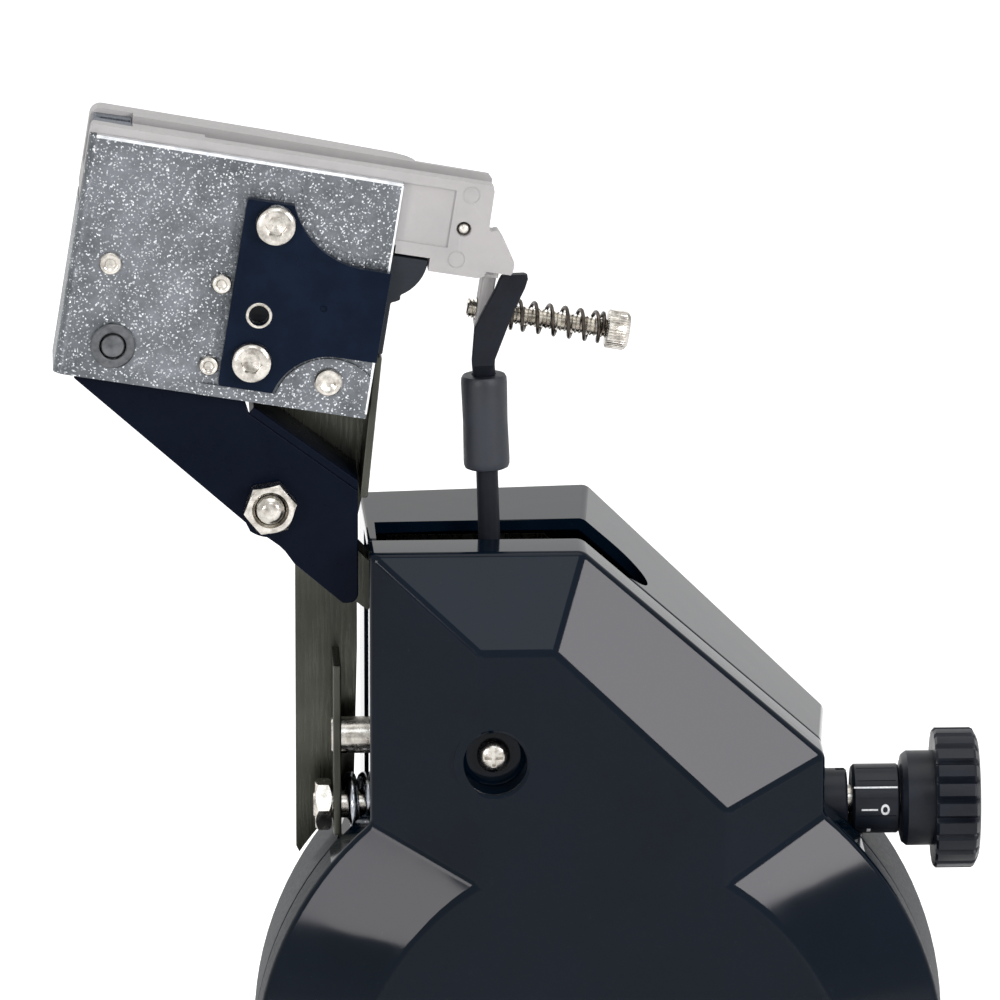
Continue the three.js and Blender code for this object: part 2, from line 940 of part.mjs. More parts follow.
function basePlate() {
  const lowZ = basePlateTopZ - basePlateThickness;
  const plate = block(
    -basePlateHalfX,
    basePlateHalfX,
    betweenNearY,
    betweenFarY,
    lowZ,
    basePlateTopZ,
  );
  const window = block(
    -chainWindowHalfX,
    chainWindowHalfX,
    chainWindowNearY,
    chainWindowFarY,
    lowZ - overrun,
    basePlateTopZ + overrun,
  );
  return carve(plate, window, ...saddleScrewHoles());
}

function ringX(outer, inner, startX, endX, y, z, sides = roundSides) {
  const hole = barX(inner, startX - overrun, endX + overrun, y, z);
  return carve(barX(outer, startX, endX, y, z, sides), hole);
}

function ringY(outer, inner, startY, endY, x, z, sides = roundSides) {
  const hole = barY(inner, startY - overrun, endY + overrun, x, z);
  return carve(barY(outer, startY, endY, x, z, sides), hole);
}

function buildHousing() {
  piece('front_shell', frontShell(), finishes.glossBlack);
  piece('rear_shell', rearShell(), finishes.glossBlack);
  const floorY = housingFaceY + counterboreDepth;
  const headY = floorY - gap;
  const postY = floorY + shellWall + gap;
  const screwEndY = postY + shellScrewReach;
  piece('shell_screw', join(
    barY(shellScrewHeadRadius, headY - shellScrewHeadHeight, headY, shellScrewX, shellScrewZ),
    barY(shellScrewRadius, headY - gap, screwEndY, shellScrewX, shellScrewZ),
  ), finishes.nickel);
  const boreRadius = shellScrewRadius + gap;
  const post = carve(
    barY(shellPostRadius, postY, frontPlateY - gap, shellScrewX, shellScrewZ),
    barY(boreRadius, postY - overrun, screwEndY + gap, shellScrewX, shellScrewZ),
  );
  piece('shell_post', post, finishes.nickel);
}

function buildFrame() {
  piece('chassis_front_plate', frontPlate(), finishes.zinc);
  piece('chassis_rear_plate', rearPlate(), finishes.zinc);
  piece('pivot_bracket', pivotBracket(), finishes.zinc);
  piece('knob_bracket', knobBracket(), finishes.zinc);
  piece('base_plate', basePlate(), finishes.zinc);
}

// Y places of the pivot bolt's parts, worked out from what it clamps
const spineFarY = spineNearY + spineThickness;
const pivotHeadY = spineFarY + gap;
const pivotNutY = armNearY - gap - pivotNutHeight;

function buildPivot() {
  const hex = hexRadius(pivotHexAcross);
  const headEndY = pivotHeadY + pivotHeadHeight;
  piece('pivot_bolt', join(
    barY(pivotRadius, pivotBoltFrontY, pivotHeadY + gap, pivotX, pivotZ),
    barY(hex, pivotHeadY, headEndY, pivotX, pivotZ, hexSides),
  ), finishes.nickel);
  const nutEndY = pivotNutY + pivotNutHeight;
  const nut = carve(
    barY(hex, pivotNutY, nutEndY, pivotX, pivotZ, hexSides),
    barY(pivotRadius + gap, pivotNutY - overrun, nutEndY + overrun, pivotX, pivotZ),
  );
  piece('pivot_nut', nut, finishes.nickel);
  const bushStartY = earNearY + earThickness + gap;
  const bushEndY = earRearY - gap;
  const bush = ringY(bushRadius, pivotRadius + gap, bushStartY, bushEndY, pivotX, pivotZ);
  piece('pivot_bush', bush, finishes.bronze);
}

// Disc with round flutes about the X axis
function flutedDisc(radius, startX, endX) {
  const points = [];
  const stepsPerFlute = 6;
  const count = knobFlutes * stepsPerFlute;
  for (let i = 0; i < count; i += 1) {
    const angle = (i / count) * 2 * Math.PI;
    const phase = (i % stepsPerFlute) / stepsPerFlute;
    const inFlute = phase < fluteWidthShare;
    const depth = inFlute ? fluteDepth * Math.sin((phase / fluteWidthShare) * Math.PI) : 0;
    points.push([(radius - depth) * Math.cos(angle), (radius - depth) * Math.sin(angle)]);
  }
  const geometry = plateZ(points, startX, endX);
  return geometry.rotateX(quarterTurn).rotateZ(quarterTurn).translate(0, midY, rodZ);
}

function buildKnob() {
  const bore = rodRadius + gap;
  const sleeveEndX = housingRightX + sleeveLength;
  const sleeve = ringX(sleeveRadius, bore, sleeveStartX, sleeveEndX, midY, rodZ);
  piece('index_sleeve', sleeve, finishes.knobBlack);
  const barrelEndX = barrelStartX + barrelLength;
  const barrel = ringX(barrelRadius, bore, barrelStartX, barrelEndX, midY, rodZ, fineSides);
  piece('scale_barrel', barrel, finishes.knobBlack);
  const knob = join(
    barX(collarRadius, collarStartX, knobStartX + gap, midY, rodZ, fineSides),
    flutedDisc(knobRadius, knobStartX, knobEndX),
  );
  const knobBore = barX(bore, collarStartX - overrun, rodRightX + gap, midY, rodZ);
  piece('tension_knob', carve(knob, knobBore), finishes.knobBlack);
  piece('tension_rod', barX(rodRadius, rodLeftX, rodRightX, midY, rodZ), finishes.nickel);
  const nutEndX = webX - gap;
  const nut = carve(
    barX(hexRadius(rodNutAcross), nutEndX - rodNutHeight, nutEndX, midY, rodZ, hexSides),
    barX(bore, nutEndX - rodNutHeight - overrun, nutEndX + overrun, midY, rodZ),
  );
  piece('rod_end_nut', nut, finishes.nickel);
  const seatEndX = seatLeftX + seatLength;
  const seat = carve(
    barX(hexRadius(seatAcross), seatLeftX, seatEndX, midY, rodZ, hexSides),
    barX(bore, seatLeftX - overrun, seatEndX + overrun, midY, rodZ),
  );
  piece('spring_seat', seat, finishes.darkSteel);
  const springStartX = webX + webThickness + gap;
  const springLength = seatLeftX - gap - springStartX;
  const spring = coil(springRadius, springWire, springTurns, springLength);
  const springMesh = piece('tension_spring', spring, finishes.springSteel);
  springMesh.position.set(springStartX, midY, rodZ);
}

// Holes across the gripper for the stud, the rivets and the lower screw, in U, Y and W
function crossHoles(nearY, farY) {
  return [
    barY(studRadius + gap, nearY, farY, studU, studW),
    ...rivets.map(({ u, w }) => barY(rivetRadius + gap, nearY, farY, u, w)),
  ];
}

// The same holes as outlines in the rocker's own frame of X and Z
function turnedWithGripper(geometry) {
  const turn = new THREE.Matrix4().makeRotationY(gripperTilt);
  turn.setPosition(gripperX, 0, gripperZ);
  return geometry.applyMatrix4(turn);
}

// Rear plate of the rocker with its tail, two webs and the lobe round the pivot
function rockerSpine() {
  const webRightX = webX + webThickness;
  const head = plateY([
    fromGripper(spineLeftU, 0),
    fromGripper(spineRightU, 0),
    fromGripper(spineRightU, spineTopW),
    fromGripper(spineLeftU, spineTopW),
  ], spineNearY, spineFarY);
  const [headX, headZ] = fromGripper(upperWebHeadU, upperWebHeadW);
  const tail = plateY([
    [tailLeftX, tailLowZ + tailCorner],
    [tailLeftX + tailCorner, tailLowZ],
    [tailRightX, tailLowZ],
    [tailRightHighX, webHighZ],
    [tailRightHighX, housingTopZ],
    [upperWebFootX + upperWebThickness, upperWebFootZ],
    [headX, headZ],
    fromGripper(spineRightU / 2, upperWebHeadW),
    [tailLeftX, upperWebFootZ],
  ], spineNearY, spineFarY);
  const lobe = barY(lobeRadius, spineNearY, spineFarY, pivotX, pivotZ);
  const web = block(webX, webRightX, webNearY, spineFarY, webLowZ, webHighZ);
  const upperWeb = plateY([
    [upperWebFootX, upperWebFootZ],
    [upperWebFootX + upperWebThickness, upperWebFootZ],
    [headX, headZ],
    [headX - upperWebThickness, headZ],
  ], webNearY, spineFarY);
  const rodHole = barX(
    webHoleRadius,
    webX - overrun,
    webRightX + overrun,
    midY,
    rodZ - webHoleDropZ,
  );
  const shoulderSpace = barY(
    tailClearRadius,
    spineNearY - overrun,
    spineFarY + overrun,
    tailClearX,
    tailClearZ,
    roundOutlineSides,
  );
  const stopHole = barX(
    stopScrewRadius + gap,
    webX - overrun,
    webRightX + overrun,
    midY,
    stopScrewZ,
  );
  const holes = crossHoles(spineNearY - overrun, spineFarY + overrun).map(turnedWithGripper);
  return carve(
    join(head, carve(tail, shoulderSpace), lobe, web, upperWeb),
    rodHole,
    stopHole,
    barY(pivotRadius + gap, spineNearY - overrun, spineFarY + overrun, pivotX, pivotZ),
    ...holes,
  );
}

// Front arm: a sheet plate with a flange bent back along its upper edge
function rockerArm() {
  const farY = armNearY + armThickness;
  const rim = bracketHeight * armRimShare;
  const innerLeftU = bracketThickness + gap + overrun;
  const innerRightU = camLeftU;
  const armPlate = plateY([
    [armTipX, armTipZ],
    [armElbowX, armElbowZ],
    ...arc(pivotX, pivotZ, armBossRadius, armBossStart, armBossEnd, armBossSteps),
    [armChinX, armChinZ],
    [armHeelX, armHeelZ],
    [armLowX, armLowZ],
    [armRightX - armThickness / 2, armLowZ],
    [armRightX, armLowZ + armThickness / 2],
    [armRightX, armCornerZ],
    [armHeadX, armHeadZ],
    fromGripper(innerRightU, rim),
    fromGripper(innerLeftU, rim),
  ], armNearY, farY);
  const length = Math.hypot(armRightX - armHeadX, armCornerZ - armHeadZ);
  const sideX = ((armCornerZ - armHeadZ) / length) * armFlangeThickness;
  const sideZ = ((armHeadX - armRightX) / length) * armFlangeThickness;
  const flange = plateY([
    [armRightX, armCornerZ],
    [armHeadX, armHeadZ],
    [armHeadX + sideX, armHeadZ + sideZ],
    [armRightX + sideX, armCornerZ + sideZ],
  ], armNearY, spineNearY - gap);
  const rightOfArm = block(
    armRightX,
    armRightX + armLowZ,
    armNearY - overrun,
    spineNearY,
    armLowZ,
    armTipZ,
  );
  const holes = crossHoles(armNearY - overrun, farY + overrun).map(turnedWithGripper);
  const lowerScrew = turnedWithGripper(barY(
    camScrewRadius + gap,
    armNearY - overrun,
    farY + overrun,
    camScrewLowerU,
    camScrewLowerW,
  ));
  return carve(
    join(armPlate, flange),
    rightOfArm,
    barY(pivotRadius + gap, armNearY - overrun, farY + overrun, pivotX, pivotZ),
    lowerScrew,
    ...holes,
  );
}

// Folded bracket in U, Y and W: front plate with its embossed recess, left flange, lower lip
function gripperBracket() {
  const plateFarY = bracketNearY + bracketThickness;
  const plate = plateY([
    [bracketLeftU, 0],
    [bracketLength, 0],
    [bracketLength, bracketHeight - bracketRightDrop],
    [bracketLeftU, bracketHeight],
  ], bracketNearY, plateFarY);
  const flangeFarY = spineNearY - gap;
  const flange = block(
    bracketLeftU,
    bracketLeftU + bracketThickness,
    bracketNearY,
    flangeFarY,
    0,
    bracketFlangeHeight,
  );
  const lipFarY = plateFarY + bracketLipDepth;
  const lip = block(bracketLeftU, bracketLength, bracketNearY, lipFarY, 0, bracketLipHeight);
  const recessY = bracketNearY + recessDepth;
  const recess = plateZ([
    [recessStartU, bracketNearY],
    [recessStartU, bracketNearY - overrun],
    [bracketLength + overrun, bracketNearY - overrun],
    [bracketLength + overrun, recessY],
    [recessFloorU, recessY],
  ], recessLowW, recessHighW);
  const frontY = bracketNearY - overrun;
  const lobes = [
    barY(upperLobeRadius, frontY, recessY + overrun, upperLobeU, upperLobeW, fineSides),
    barY(lowerLobeRadius, frontY, recessY + overrun, lowerLobeU, lowerLobeW, fineSides),
  ];
  const screws = [
    barY(camScrewRadius + gap, frontY, lipFarY, camScrewUpperU, camScrewUpperW),
    barY(camScrewRadius + gap, frontY, lipFarY, camScrewLowerU, camScrewLowerW),
    barY(camHoleRadius, frontY, lipFarY, camHoleU, camHoleW),
  ];
  return carve(
    join(plate, flange, lip),
    carve(recess, ...lobes),
    ...screws,
    ...crossHoles(frontY, lipFarY),
  );
}

// Y places of the cam plate on the floor of the recess
const camFarY = bracketNearY + recessDepth - gap;
const camNearY = camFarY - camThickness;

function camPlate() {
  const plate = plateY([
    [camLeftU, camLowW],
    [camRightU, camLowW],
    [camRightU, camHighW],
    [camLeftU, camHighW],
  ], camNearY, camFarY);
  const nearY = camNearY - overrun;
  const farY = camFarY + overrun;
  const upperCut = upperLobeRadius + camUpperCutClearance;
  const lowerCut = lowerLobeRadius + camLowerCutClearance;
  return carve(
    plate,
    barY(upperCut, nearY, farY, upperLobeU, upperLobeW, fineSides),
    barY(lowerCut, nearY, farY, lowerLobeU, lowerLobeW, fineSides),
    block(lowerLobeU, camRightU + overrun, nearY, farY, lowerLobeW, lowerLobeW + lowerCut),
    block(upperLobeU, camRightU + overrun, nearY, farY, upperLobeW - upperCut, camHighW + overrun),
    barY(camScrewRadius + gap, nearY, farY, camScrewUpperU, camScrewUpperW),
    barY(camScrewRadius + gap, nearY, farY, camScrewLowerU, camScrewLowerW),
    barY(camHoleRadius, nearY, farY, camHoleU, camHoleW),
  );
}

function camScrew(u, w) {
  const headFarY = camNearY - gap;
  const headNearY = headFarY - camScrewHeadHeight;
  const socketEndY = headNearY + camScrewSocketDepth;
  const socket = hexRadius(camScrewSocketAcross);
  return carve(
    join(
      barY(camScrewHeadRadius, headNearY, headFarY, u, w),
      barY(camScrewRadius, headFarY - gap, headFarY + camScrewLength, u, w),
    ),
    barY(socket, headNearY - overrun, socketEndY, u, w, hexSides),
  );
}

function crossPin(u, w, headRadius, radius) {
  const headFarY = bracketNearY - gap;
  const headNearY = headFarY - rivetHeadHeight;
  const endY = spineFarY + rivetHeadHeight;
  return join(
    barY(headRadius, headNearY, headFarY, u, w),
    barY(radius, headNearY, endY, u, w),
  );
}

function guideBlock() {
  const nearY = bracketNearY + bracketThickness + gap;
  const farY = spineNearY - gap;
  const outline = [
    [blockLeftU, blockFootW],
    [blockFootU, blockFootW],
    [blockFootU, blockLowW],
    [blockChinU, blockLowW],
    [blockChinU, blockChinW],
    [blockNoseU, blockNoseW],
    [blockLipU, blockLipW],
    [blockRightU, blockLugW],
    [bracketLength, blockLugW],
    [bracketLength, blockTopW],
    [blockLeftU, blockTopW],
  ];
  const armSpace = turnedFromGripper(block(
    armTipX,
    armRightX,
    armNearY - gap,
    armNearY + armThickness + gap,
    armLowZ,
    armTipZ + bracketHeight,
  ));
  const footSide = block(
    blockLeftU - overrun,
    blockFootU + overrun,
    armNearY - overrun,
    farY + overrun,
    0,
    blockLowW,
  );
  const screw = barY(
    camScrewRadius + gap,
    nearY - overrun,
    farY + overrun,
    camScrewLowerU,
    camScrewLowerW,
  );
  const upperScrew = barY(
    camScrewRadius + gap,
    nearY - overrun,
    farY + overrun,
    camScrewUpperU,
    camScrewUpperW,
  );
  return carve(
    plateY(outline, nearY, farY),
    common(footSide, armSpace),
    screw,
    upperScrew,
  );
}

// Brings a shape of the rocker's X and Z frame into the gripper's U and W
function turnedFromGripper(geometry) {
  const turn = new THREE.Matrix4().makeRotationY(gripperTilt);
  turn.setPosition(gripperX, 0, gripperZ);
  return geometry.applyMatrix4(turn.invert());
}

// Half width of the wedge pocket at a place along U
function pocketWidth(u) {
  return pocketHalf + u * Math.tan(pocketAngle);
}

function wedgePocket(endU, lowW, highW) {
  const startU = castingLeftU - overrun;
  return plateZ([
    [startU, jawY - pocketWidth(startU)],
    [endU, jawY - pocketWidth(endU)],
    [endU, jawY + pocketWidth(endU)],
    [startU, jawY + pocketWidth(startU)],
  ], lowW, highW);
}

function castingTopW(u) {
  const share = (u - castingLeftU) / (bodyTopRightU - castingLeftU);
  return castingTopLeftW + share * (castingTopRightW - castingTopLeftW);
}

function castingRails() {
  const rails = plateY([
    [castingLeftU, castingLowW],
    [castingRearEndU, castingLowW],
    [castingRearEndU, castingTopW(castingRearEndU)],
    ...arc(
      castingLeftU + castingCorner,
      castingTopLeftW - castingCorner,
      castingCorner,
      quarterTurn,
      2 * quarterTurn,
      roundSteps / 5,
    ),
  ], castingNearY, castingFarY);
  const behindBend = plateZ([
    [railBendU, castingFarY],
    [railBendEndU, railEndFarY],
    [castingRearEndU, grooveFarY + rearWallThickness],
    [castingRearEndU + overrun, castingFarY + overrun],
    [railBendU, castingFarY + overrun],
  ], castingLowW - overrun, castingTopLeftW + overrun);
  return carve(rails, behindBend);
}

// The right body: a front wall and a thin rear wall beside the groove, on a thick lower part
function castingBody() {
  const stepU = blockRightU + gap;
  const topLeft = [bodyLeftU, castingTopW(bodyLeftU)];
  const frontWall = plateY([
    [bodyLeftU, bodyLowW],
    [stepU, bodyLowW],
    [stepU, bodyHeelW],
    [bodyHeelU, bodyHeelW],
    [legLeftU, bulgeLowW],
    [bulgeRightU, bulgeLowW],
    [bulgeRightU, bulgeRightW],
    [bulgeTopU, bulgeTopW],
    [bodyDipU, bodyDipW],
    [bodyNotchU, bodyNotchW],
    [bodyTopRightU, castingTopRightW],
    topLeft,
  ], castingNearY, grooveNearY);
  const rearWall = plateY([
    [bodyLeftU, bodyLowW],
    [stepU, bodyLowW],
    [bodyTopRightU, castingFloorW],
    [bodyTopRightU, castingTopRightW],
    topLeft,
  ], grooveFarY, grooveFarY + rearWallThickness);
  const lower = plateY([
    [bodyLeftU, bodyLowW],
    [stepU, bodyLowW],
    [stepU, bodyHeelW],
    [legRightU, bodyHeelW],
    [legRightU, bodyRearShoulderW],
    [bodyRearTopU, castingFloorW],
    [bodyLeftU, castingFloorW],
  ], grooveNearY - overrun, bodyFarY);
  const floor = plateY([
    [bodyLeftU, bodyLowW],
    [stepU, bodyLowW],
    [bodyTopRightU, bodyRearShoulderW],
    [bodyTopRightU, castingFloorW],
    [bodyLeftU, castingFloorW],
  ], grooveNearY - overrun, grooveFarY + overrun);
  const leg = block(legLeftU, legRightU, legNearY, bodyFarY, legLowW, bodyHeelW + overrun);
  return join(frontWall, rearWall, lower, floor, leg);
}

function jawCasting() {
  const groove = plateZ([
    [castingLeftU - overrun, grooveLipY],
    [grooveLipEndU, grooveLipY],
    [grooveLipEndU, grooveNearY],
    [bodyTopRightU + overrun, grooveNearY],
    [bodyTopRightU + overrun, grooveFarY],
    [castingLeftU - overrun, grooveFarY],
  ], castingFloorW, castingTopLeftW + overrun);
  const overFront = plateY([
    [castingLeftU - overrun, frontTopLeftW],
    [bodyTopRightU + overrun, frontTopRightW],
    [bodyTopRightU + overrun, castingTopLeftW + overrun],
    [castingLeftU - overrun, castingTopLeftW + overrun],
  ], castingNearY - overrun, jawY);
  const recess = block(
    bodyLeftU,
    bodyRecessRightU,
    castingNearY - overrun,
    castingNearY + bodyRecessDepth,
    bodyRecessLowW,
    bodyRecessHighW,
  );
  const pinHole = barY(
    castingPinRadius + gap,
    castingNearY - overrun,
    castingNearY + castingPinLength + gap,
    castingPinU,
    castingPinW,
  );
  const screwHole = barY(
    camScrewRadius + gap,
    castingNearY - overrun,
    camNearY + camScrewLength + gap,
    camScrewUpperU,
    camScrewUpperW,
  );
  const tripHole = barX(tripRadius + gap, legLeftU - overrun, legRightU + overrun, tripY, tripW);
  return carve(
    join(castingRails(), castingBody()),
    overFront,
    groove,
    wedgePocket(pocketDepthU, castingFloorW, lipLowW),
    wedgePocket(pocketEndU, castingFloorW, castingTopLeftW + overrun),
    recess,
    pinHole,
    screwHole,
    tripHole,
  );
}

// One string jaw in U, Y and W: side is -1 for the front jaw and 1 for the rear one
function jaw(side) {
  const endU = jawLeftU + jawLength;
  const topEndU = pocketEndU - gap;
  const faceY = jawY + side * jawHalfGap;
  const backY = (u) => jawY + side * (pocketWidth(u) - gap);
  const outline = (lastU) => {
    const points = [
      [jawLeftU, faceY],
      [lastU, faceY],
      [lastU, backY(lastU)],
      [jawLeftU, backY(jawLeftU)],
    ];
    return side > 0 ? points : points.reverse();
  };
  const lowW = castingFloorW + gap;
  const shoulderW = lipLowW - gap;
  return join(
    plateZ(outline(endU), lowW, shoulderW),
    plateZ(outline(topEndU), shoulderW - gap, jawTopW),
  );
}

function tripScrew() {
  const headEndU = tripHeadU + tripHeadLength;
  const socket = hexRadius(tripSocketAcross);
  return carve(
    join(
      barX(tripRadius, tripLeftU, tripHeadU + gap, tripY, tripW),
      barX(tripHeadRadius, tripHeadU, headEndU, tripY, tripW),
    ),
    barX(socket, headEndU - tripSocketDepth, headEndU + overrun, tripY, tripW, hexSides),
  );
}

function buildGripper() {
  piece('gripper_bracket', gripperBracket(), finishes.zinc, gripper);
  piece('jaw_casting', jawCasting(), finishes.casting, gripper);
  piece('guide_block', guideBlock(), finishes.blockBlack, gripper);
  piece('cam_plate', camPlate(), finishes.blackSteel, gripper);
  const upper = camScrew(camScrewUpperU, camScrewUpperW);
  piece('cam_screw_upper', upper, finishes.nickel, gripper);
  const lower = camScrew(camScrewLowerU, camScrewLowerW);
  piece('cam_screw_lower', lower, finishes.nickel, gripper);
  const stud = crossPin(studU, studW, studHeadRadius, studRadius);
  piece('cross_stud', stud, finishes.darkSteel, gripper);
  rivets.forEach(({ name, u, w, head }) => {
    piece(name, crossPin(u, w, head, rivetRadius), finishes.nickel, gripper);
  });
  const pin = barY(
    castingPinRadius,
    castingNearY + bodyRecessDepth,
    castingNearY + castingPinLength,
    castingPinU,
    castingPinW,
  );
  piece('casting_pin', pin, finishes.nickel, gripper);
  piece('front_jaw', jaw(-1), finishes.darkSteel, gripper);
  piece('rear_jaw', jaw(1), finishes.darkSteel, gripper);
  piece('trip_screw', tripScrew(), finishes.nickel, gripper);
  const springLength = tripHeadU - gap - tripSpringStartU;
  const spring = coil(tripSpringRadius, tripSpringWire, tripSpringTurns, springLength);
  const springMesh = piece('trip_spring', spring, finishes.springSteel, gripper);
  springMesh.position.set(tripSpringStartU, tripY, tripW);
}

function buildRocker() {
  piece('rocker_spine', rockerSpine(), finishes.zinc);
  piece('rocker_arm', rockerArm(), finishes.blackSteel);
  const stop = barX(stopScrewRadius, stopScrewLeftX, stopScrewRightX, midY, stopScrewZ);
  piece('stop_screw', stop, finishes.nickel);
}

// Places the upper part of the lever, drawn from its pin, at the pin with its lean
function leaned(geometry) {
  const turn = new THREE.Matrix4().makeRotationY(leverLean);
  turn.setPosition(leverX, 0, leverZ);
  return geometry.applyMatrix4(turn);
}

const shoeInnerRadius = drumRadius + shoeGap;
const shoeOuterRadius = shoeInnerRadius + shoeThickness;

function brakeLever() {
  const bladeFarY = bladeNearY + bladeThickness;
  const rod = barZ(leverRodRadius, leverRodStart, neckHigh - overrun, 0, midY);
  const neck = block(
    -leverRodRadius,
    leverRodRadius,
    bladeNearY,
    midY + leverRodRadius,
    gripHigh + gap,
    neckHigh,
  );
  const bladeOutline = [
    [-bladeHalf, neckHigh - overrun],
    [bladeHalf, neckHigh - overrun],
    [bladeBendRightX, bladeBendZ],
    [bladeTopRightX, bladeTopZ - bladeCorner],
    [bladeTopRightX - bladeCorner, bladeTopZ],
    [bladeTopLeftX + bladeCorner, bladeTopZ],
    [bladeTopLeftX, bladeTopZ - bladeCorner],
    [bladeBendX, bladeBendZ],
    [-bladeHalf, neckHigh + bladeThickness],
  ];
  const blade = plateY(bladeOutline, bladeNearY, bladeFarY);
  const tabRightX = tabLeftX + tabThickness;
  const tab = common(
    leaned(block(tabLeftX, tabRightX, bladeNearY, tabFarY, tabLowZ, tabHighZ)),
    leaned(plateY(bladeOutline, bladeNearY, tabFarY)),
  );
  const slot = block(
    tabLeftX - overrun,
    tabRightX + overrun,
    tripY - tabSlotHalf,
    tripY + tabSlotHalf,
    tabSlotLowZ,
    tabHighZ + overrun,
  );
  const upper = carve(
    join(...[neck, rod, blade].map(leaned), tab),
    leaned(slot),
  );
  const hub = barY(hubRadius, hubNearY, hubFarY, leverX, leverZ);
  const middleAngle = (shoeStartAngle + shoeEndAngle) / 2;
  const armRadius = shoeOuterRadius + gap;
  const half = shoeArmWidth / 2;
  const footX = shoeInnerRadius * Math.cos(middleAngle);
  const footZ = shoeInnerRadius * Math.sin(middleAngle);
  const arm = plateY([
    [leverX - half, leverZ],
    [footX - half, footZ - half],
    [footX + half, footZ + half],
    [leverX + half, leverZ],
  ], shoeArmNearY, shoeArmFarY);
  const drumSpace = barY(armRadius, shoeArmNearY - overrun, shoeArmFarY + overrun, 0, 0, fineSides);
  return carve(
    join(upper, hub, carve(arm, drumSpace)),
    leverPinHole(hubNearY - overrun, hubFarY + overrun),
  );
}

function brakeShoe() {
  return plateY([
    ...arc(0, 0, shoeInnerRadius, shoeEndAngle, shoeStartAngle, shoeSteps),
    ...arc(0, 0, shoeOuterRadius, shoeStartAngle, shoeEndAngle, shoeSteps),
  ], shoeArmNearY, shoeArmFarY);
}

function buildLever() {
  piece('brake_lever', brakeLever(), finishes.blackSteel);
  const grip = carve(
    barZ(gripRadius, gripLow, gripHigh, 0, midY),
    barZ(leverRodRadius + gap, gripLow - overrun, gripHigh + overrun, 0, midY),
  );
  const gripMesh = piece('lever_sleeve', grip, finishes.rubber);
  gripMesh.position.set(leverX, 0, leverZ);
  gripMesh.rotation.y = leverLean;
  piece('brake_shoe', brakeShoe(), finishes.blockBlack);
  const pinNearY = frontPlateY - gap;
  const pinFarY = rearPlateY + plateThickness + gap;
  piece('lever_pin', barY(leverPinRadius, pinNearY, pinFarY, leverX, leverZ), finishes.nickel);
}

function brakeDrum() {
  const bore = shaftRadius + gap;
  const middle = (drumNearY + drumFarY) / 2;
  const rimInner = drumRadius - drumRim;
  return turnedY([
    [bore, drumNearY],
    [drumHubRadius, drumNearY],
    [drumHubRadius, middle - drumWeb / 2],
    [rimInner, middle - drumWeb / 2],
    [rimInner, drumNearY],
    [drumRadius, drumNearY],
    [drumRadius, drumFarY],
    [rimInner, drumFarY],
    [rimInner, middle + drumWeb / 2],
    [drumHubRadius, middle + drumWeb / 2],
    [drumHubRadius, drumFarY],
    [bore, drumFarY],
  ]);
}

function chainSprocket() {
  const points = [];
  const stepsPerTooth = 4;
  const count = sprocketTeeth * stepsPerTooth;
  for (let i = 0; i < count; i += 1) {
    const angle = (i / count) * 2 * Math.PI;
    const atTip = i % stepsPerTooth < stepsPerTooth / 2;
    const radius = atTip ? sprocketRadius : sprocketRadius - sprocketToothDepth;
    points.push([radius * Math.cos(angle), radius * Math.sin(angle)]);
  }
  const hole = barY(shaftRadius + gap, sprocketNearY - overrun, sprocketFarY + overrun, 0, 0);
  return carve(plateY(points, sprocketNearY, sprocketFarY), hole);
}

function crankArm() {
  const farY = crankNearY + crankThickness;
  const armOutline = [
    [-crankHubRadius, 0],
    [-crankEndRadius, -crankLength],
    [crankEndRadius, -crankLength],
    [crankHubRadius, 0],
  ];
  const pinNearY = crankNearY - crankGripLength;
  return carve(
    join(
      plateY(armOutline, crankNearY, farY),
      barY(crankHubRadius, crankNearY, farY, 0, 0, fineSides),
      barY(crankEndRadius, crankNearY, farY, 0, -crankLength, fineSides),
      barY(gripPinRadius, pinNearY, crankNearY + gap, 0, -crankLength),
    ),
    barY(shaftRadius + gap, crankNearY - overrun, farY + overrun, 0, 0),
  );
}

function crankGrip() {
  const bore = gripPinRadius + gap;
  const startY = crankNearY - gap - crankGripLength;
  const endY = crankNearY - gap;
  const waist = crankGripRadius * crankGripWaistShare;
  const quarter = crankGripLength / 4;
  const shape = turnedY([
    [bore, startY + overrun + gap],
    [bore, endY],
    [waist, endY],
    [crankGripRadius, endY - quarter],
    [crankGripRadius, startY + quarter],
    [waist, startY],
    [bore, startY],
  ].reverse(), roundSides);
  return shape.translate(0, 0, -crankLength);
}

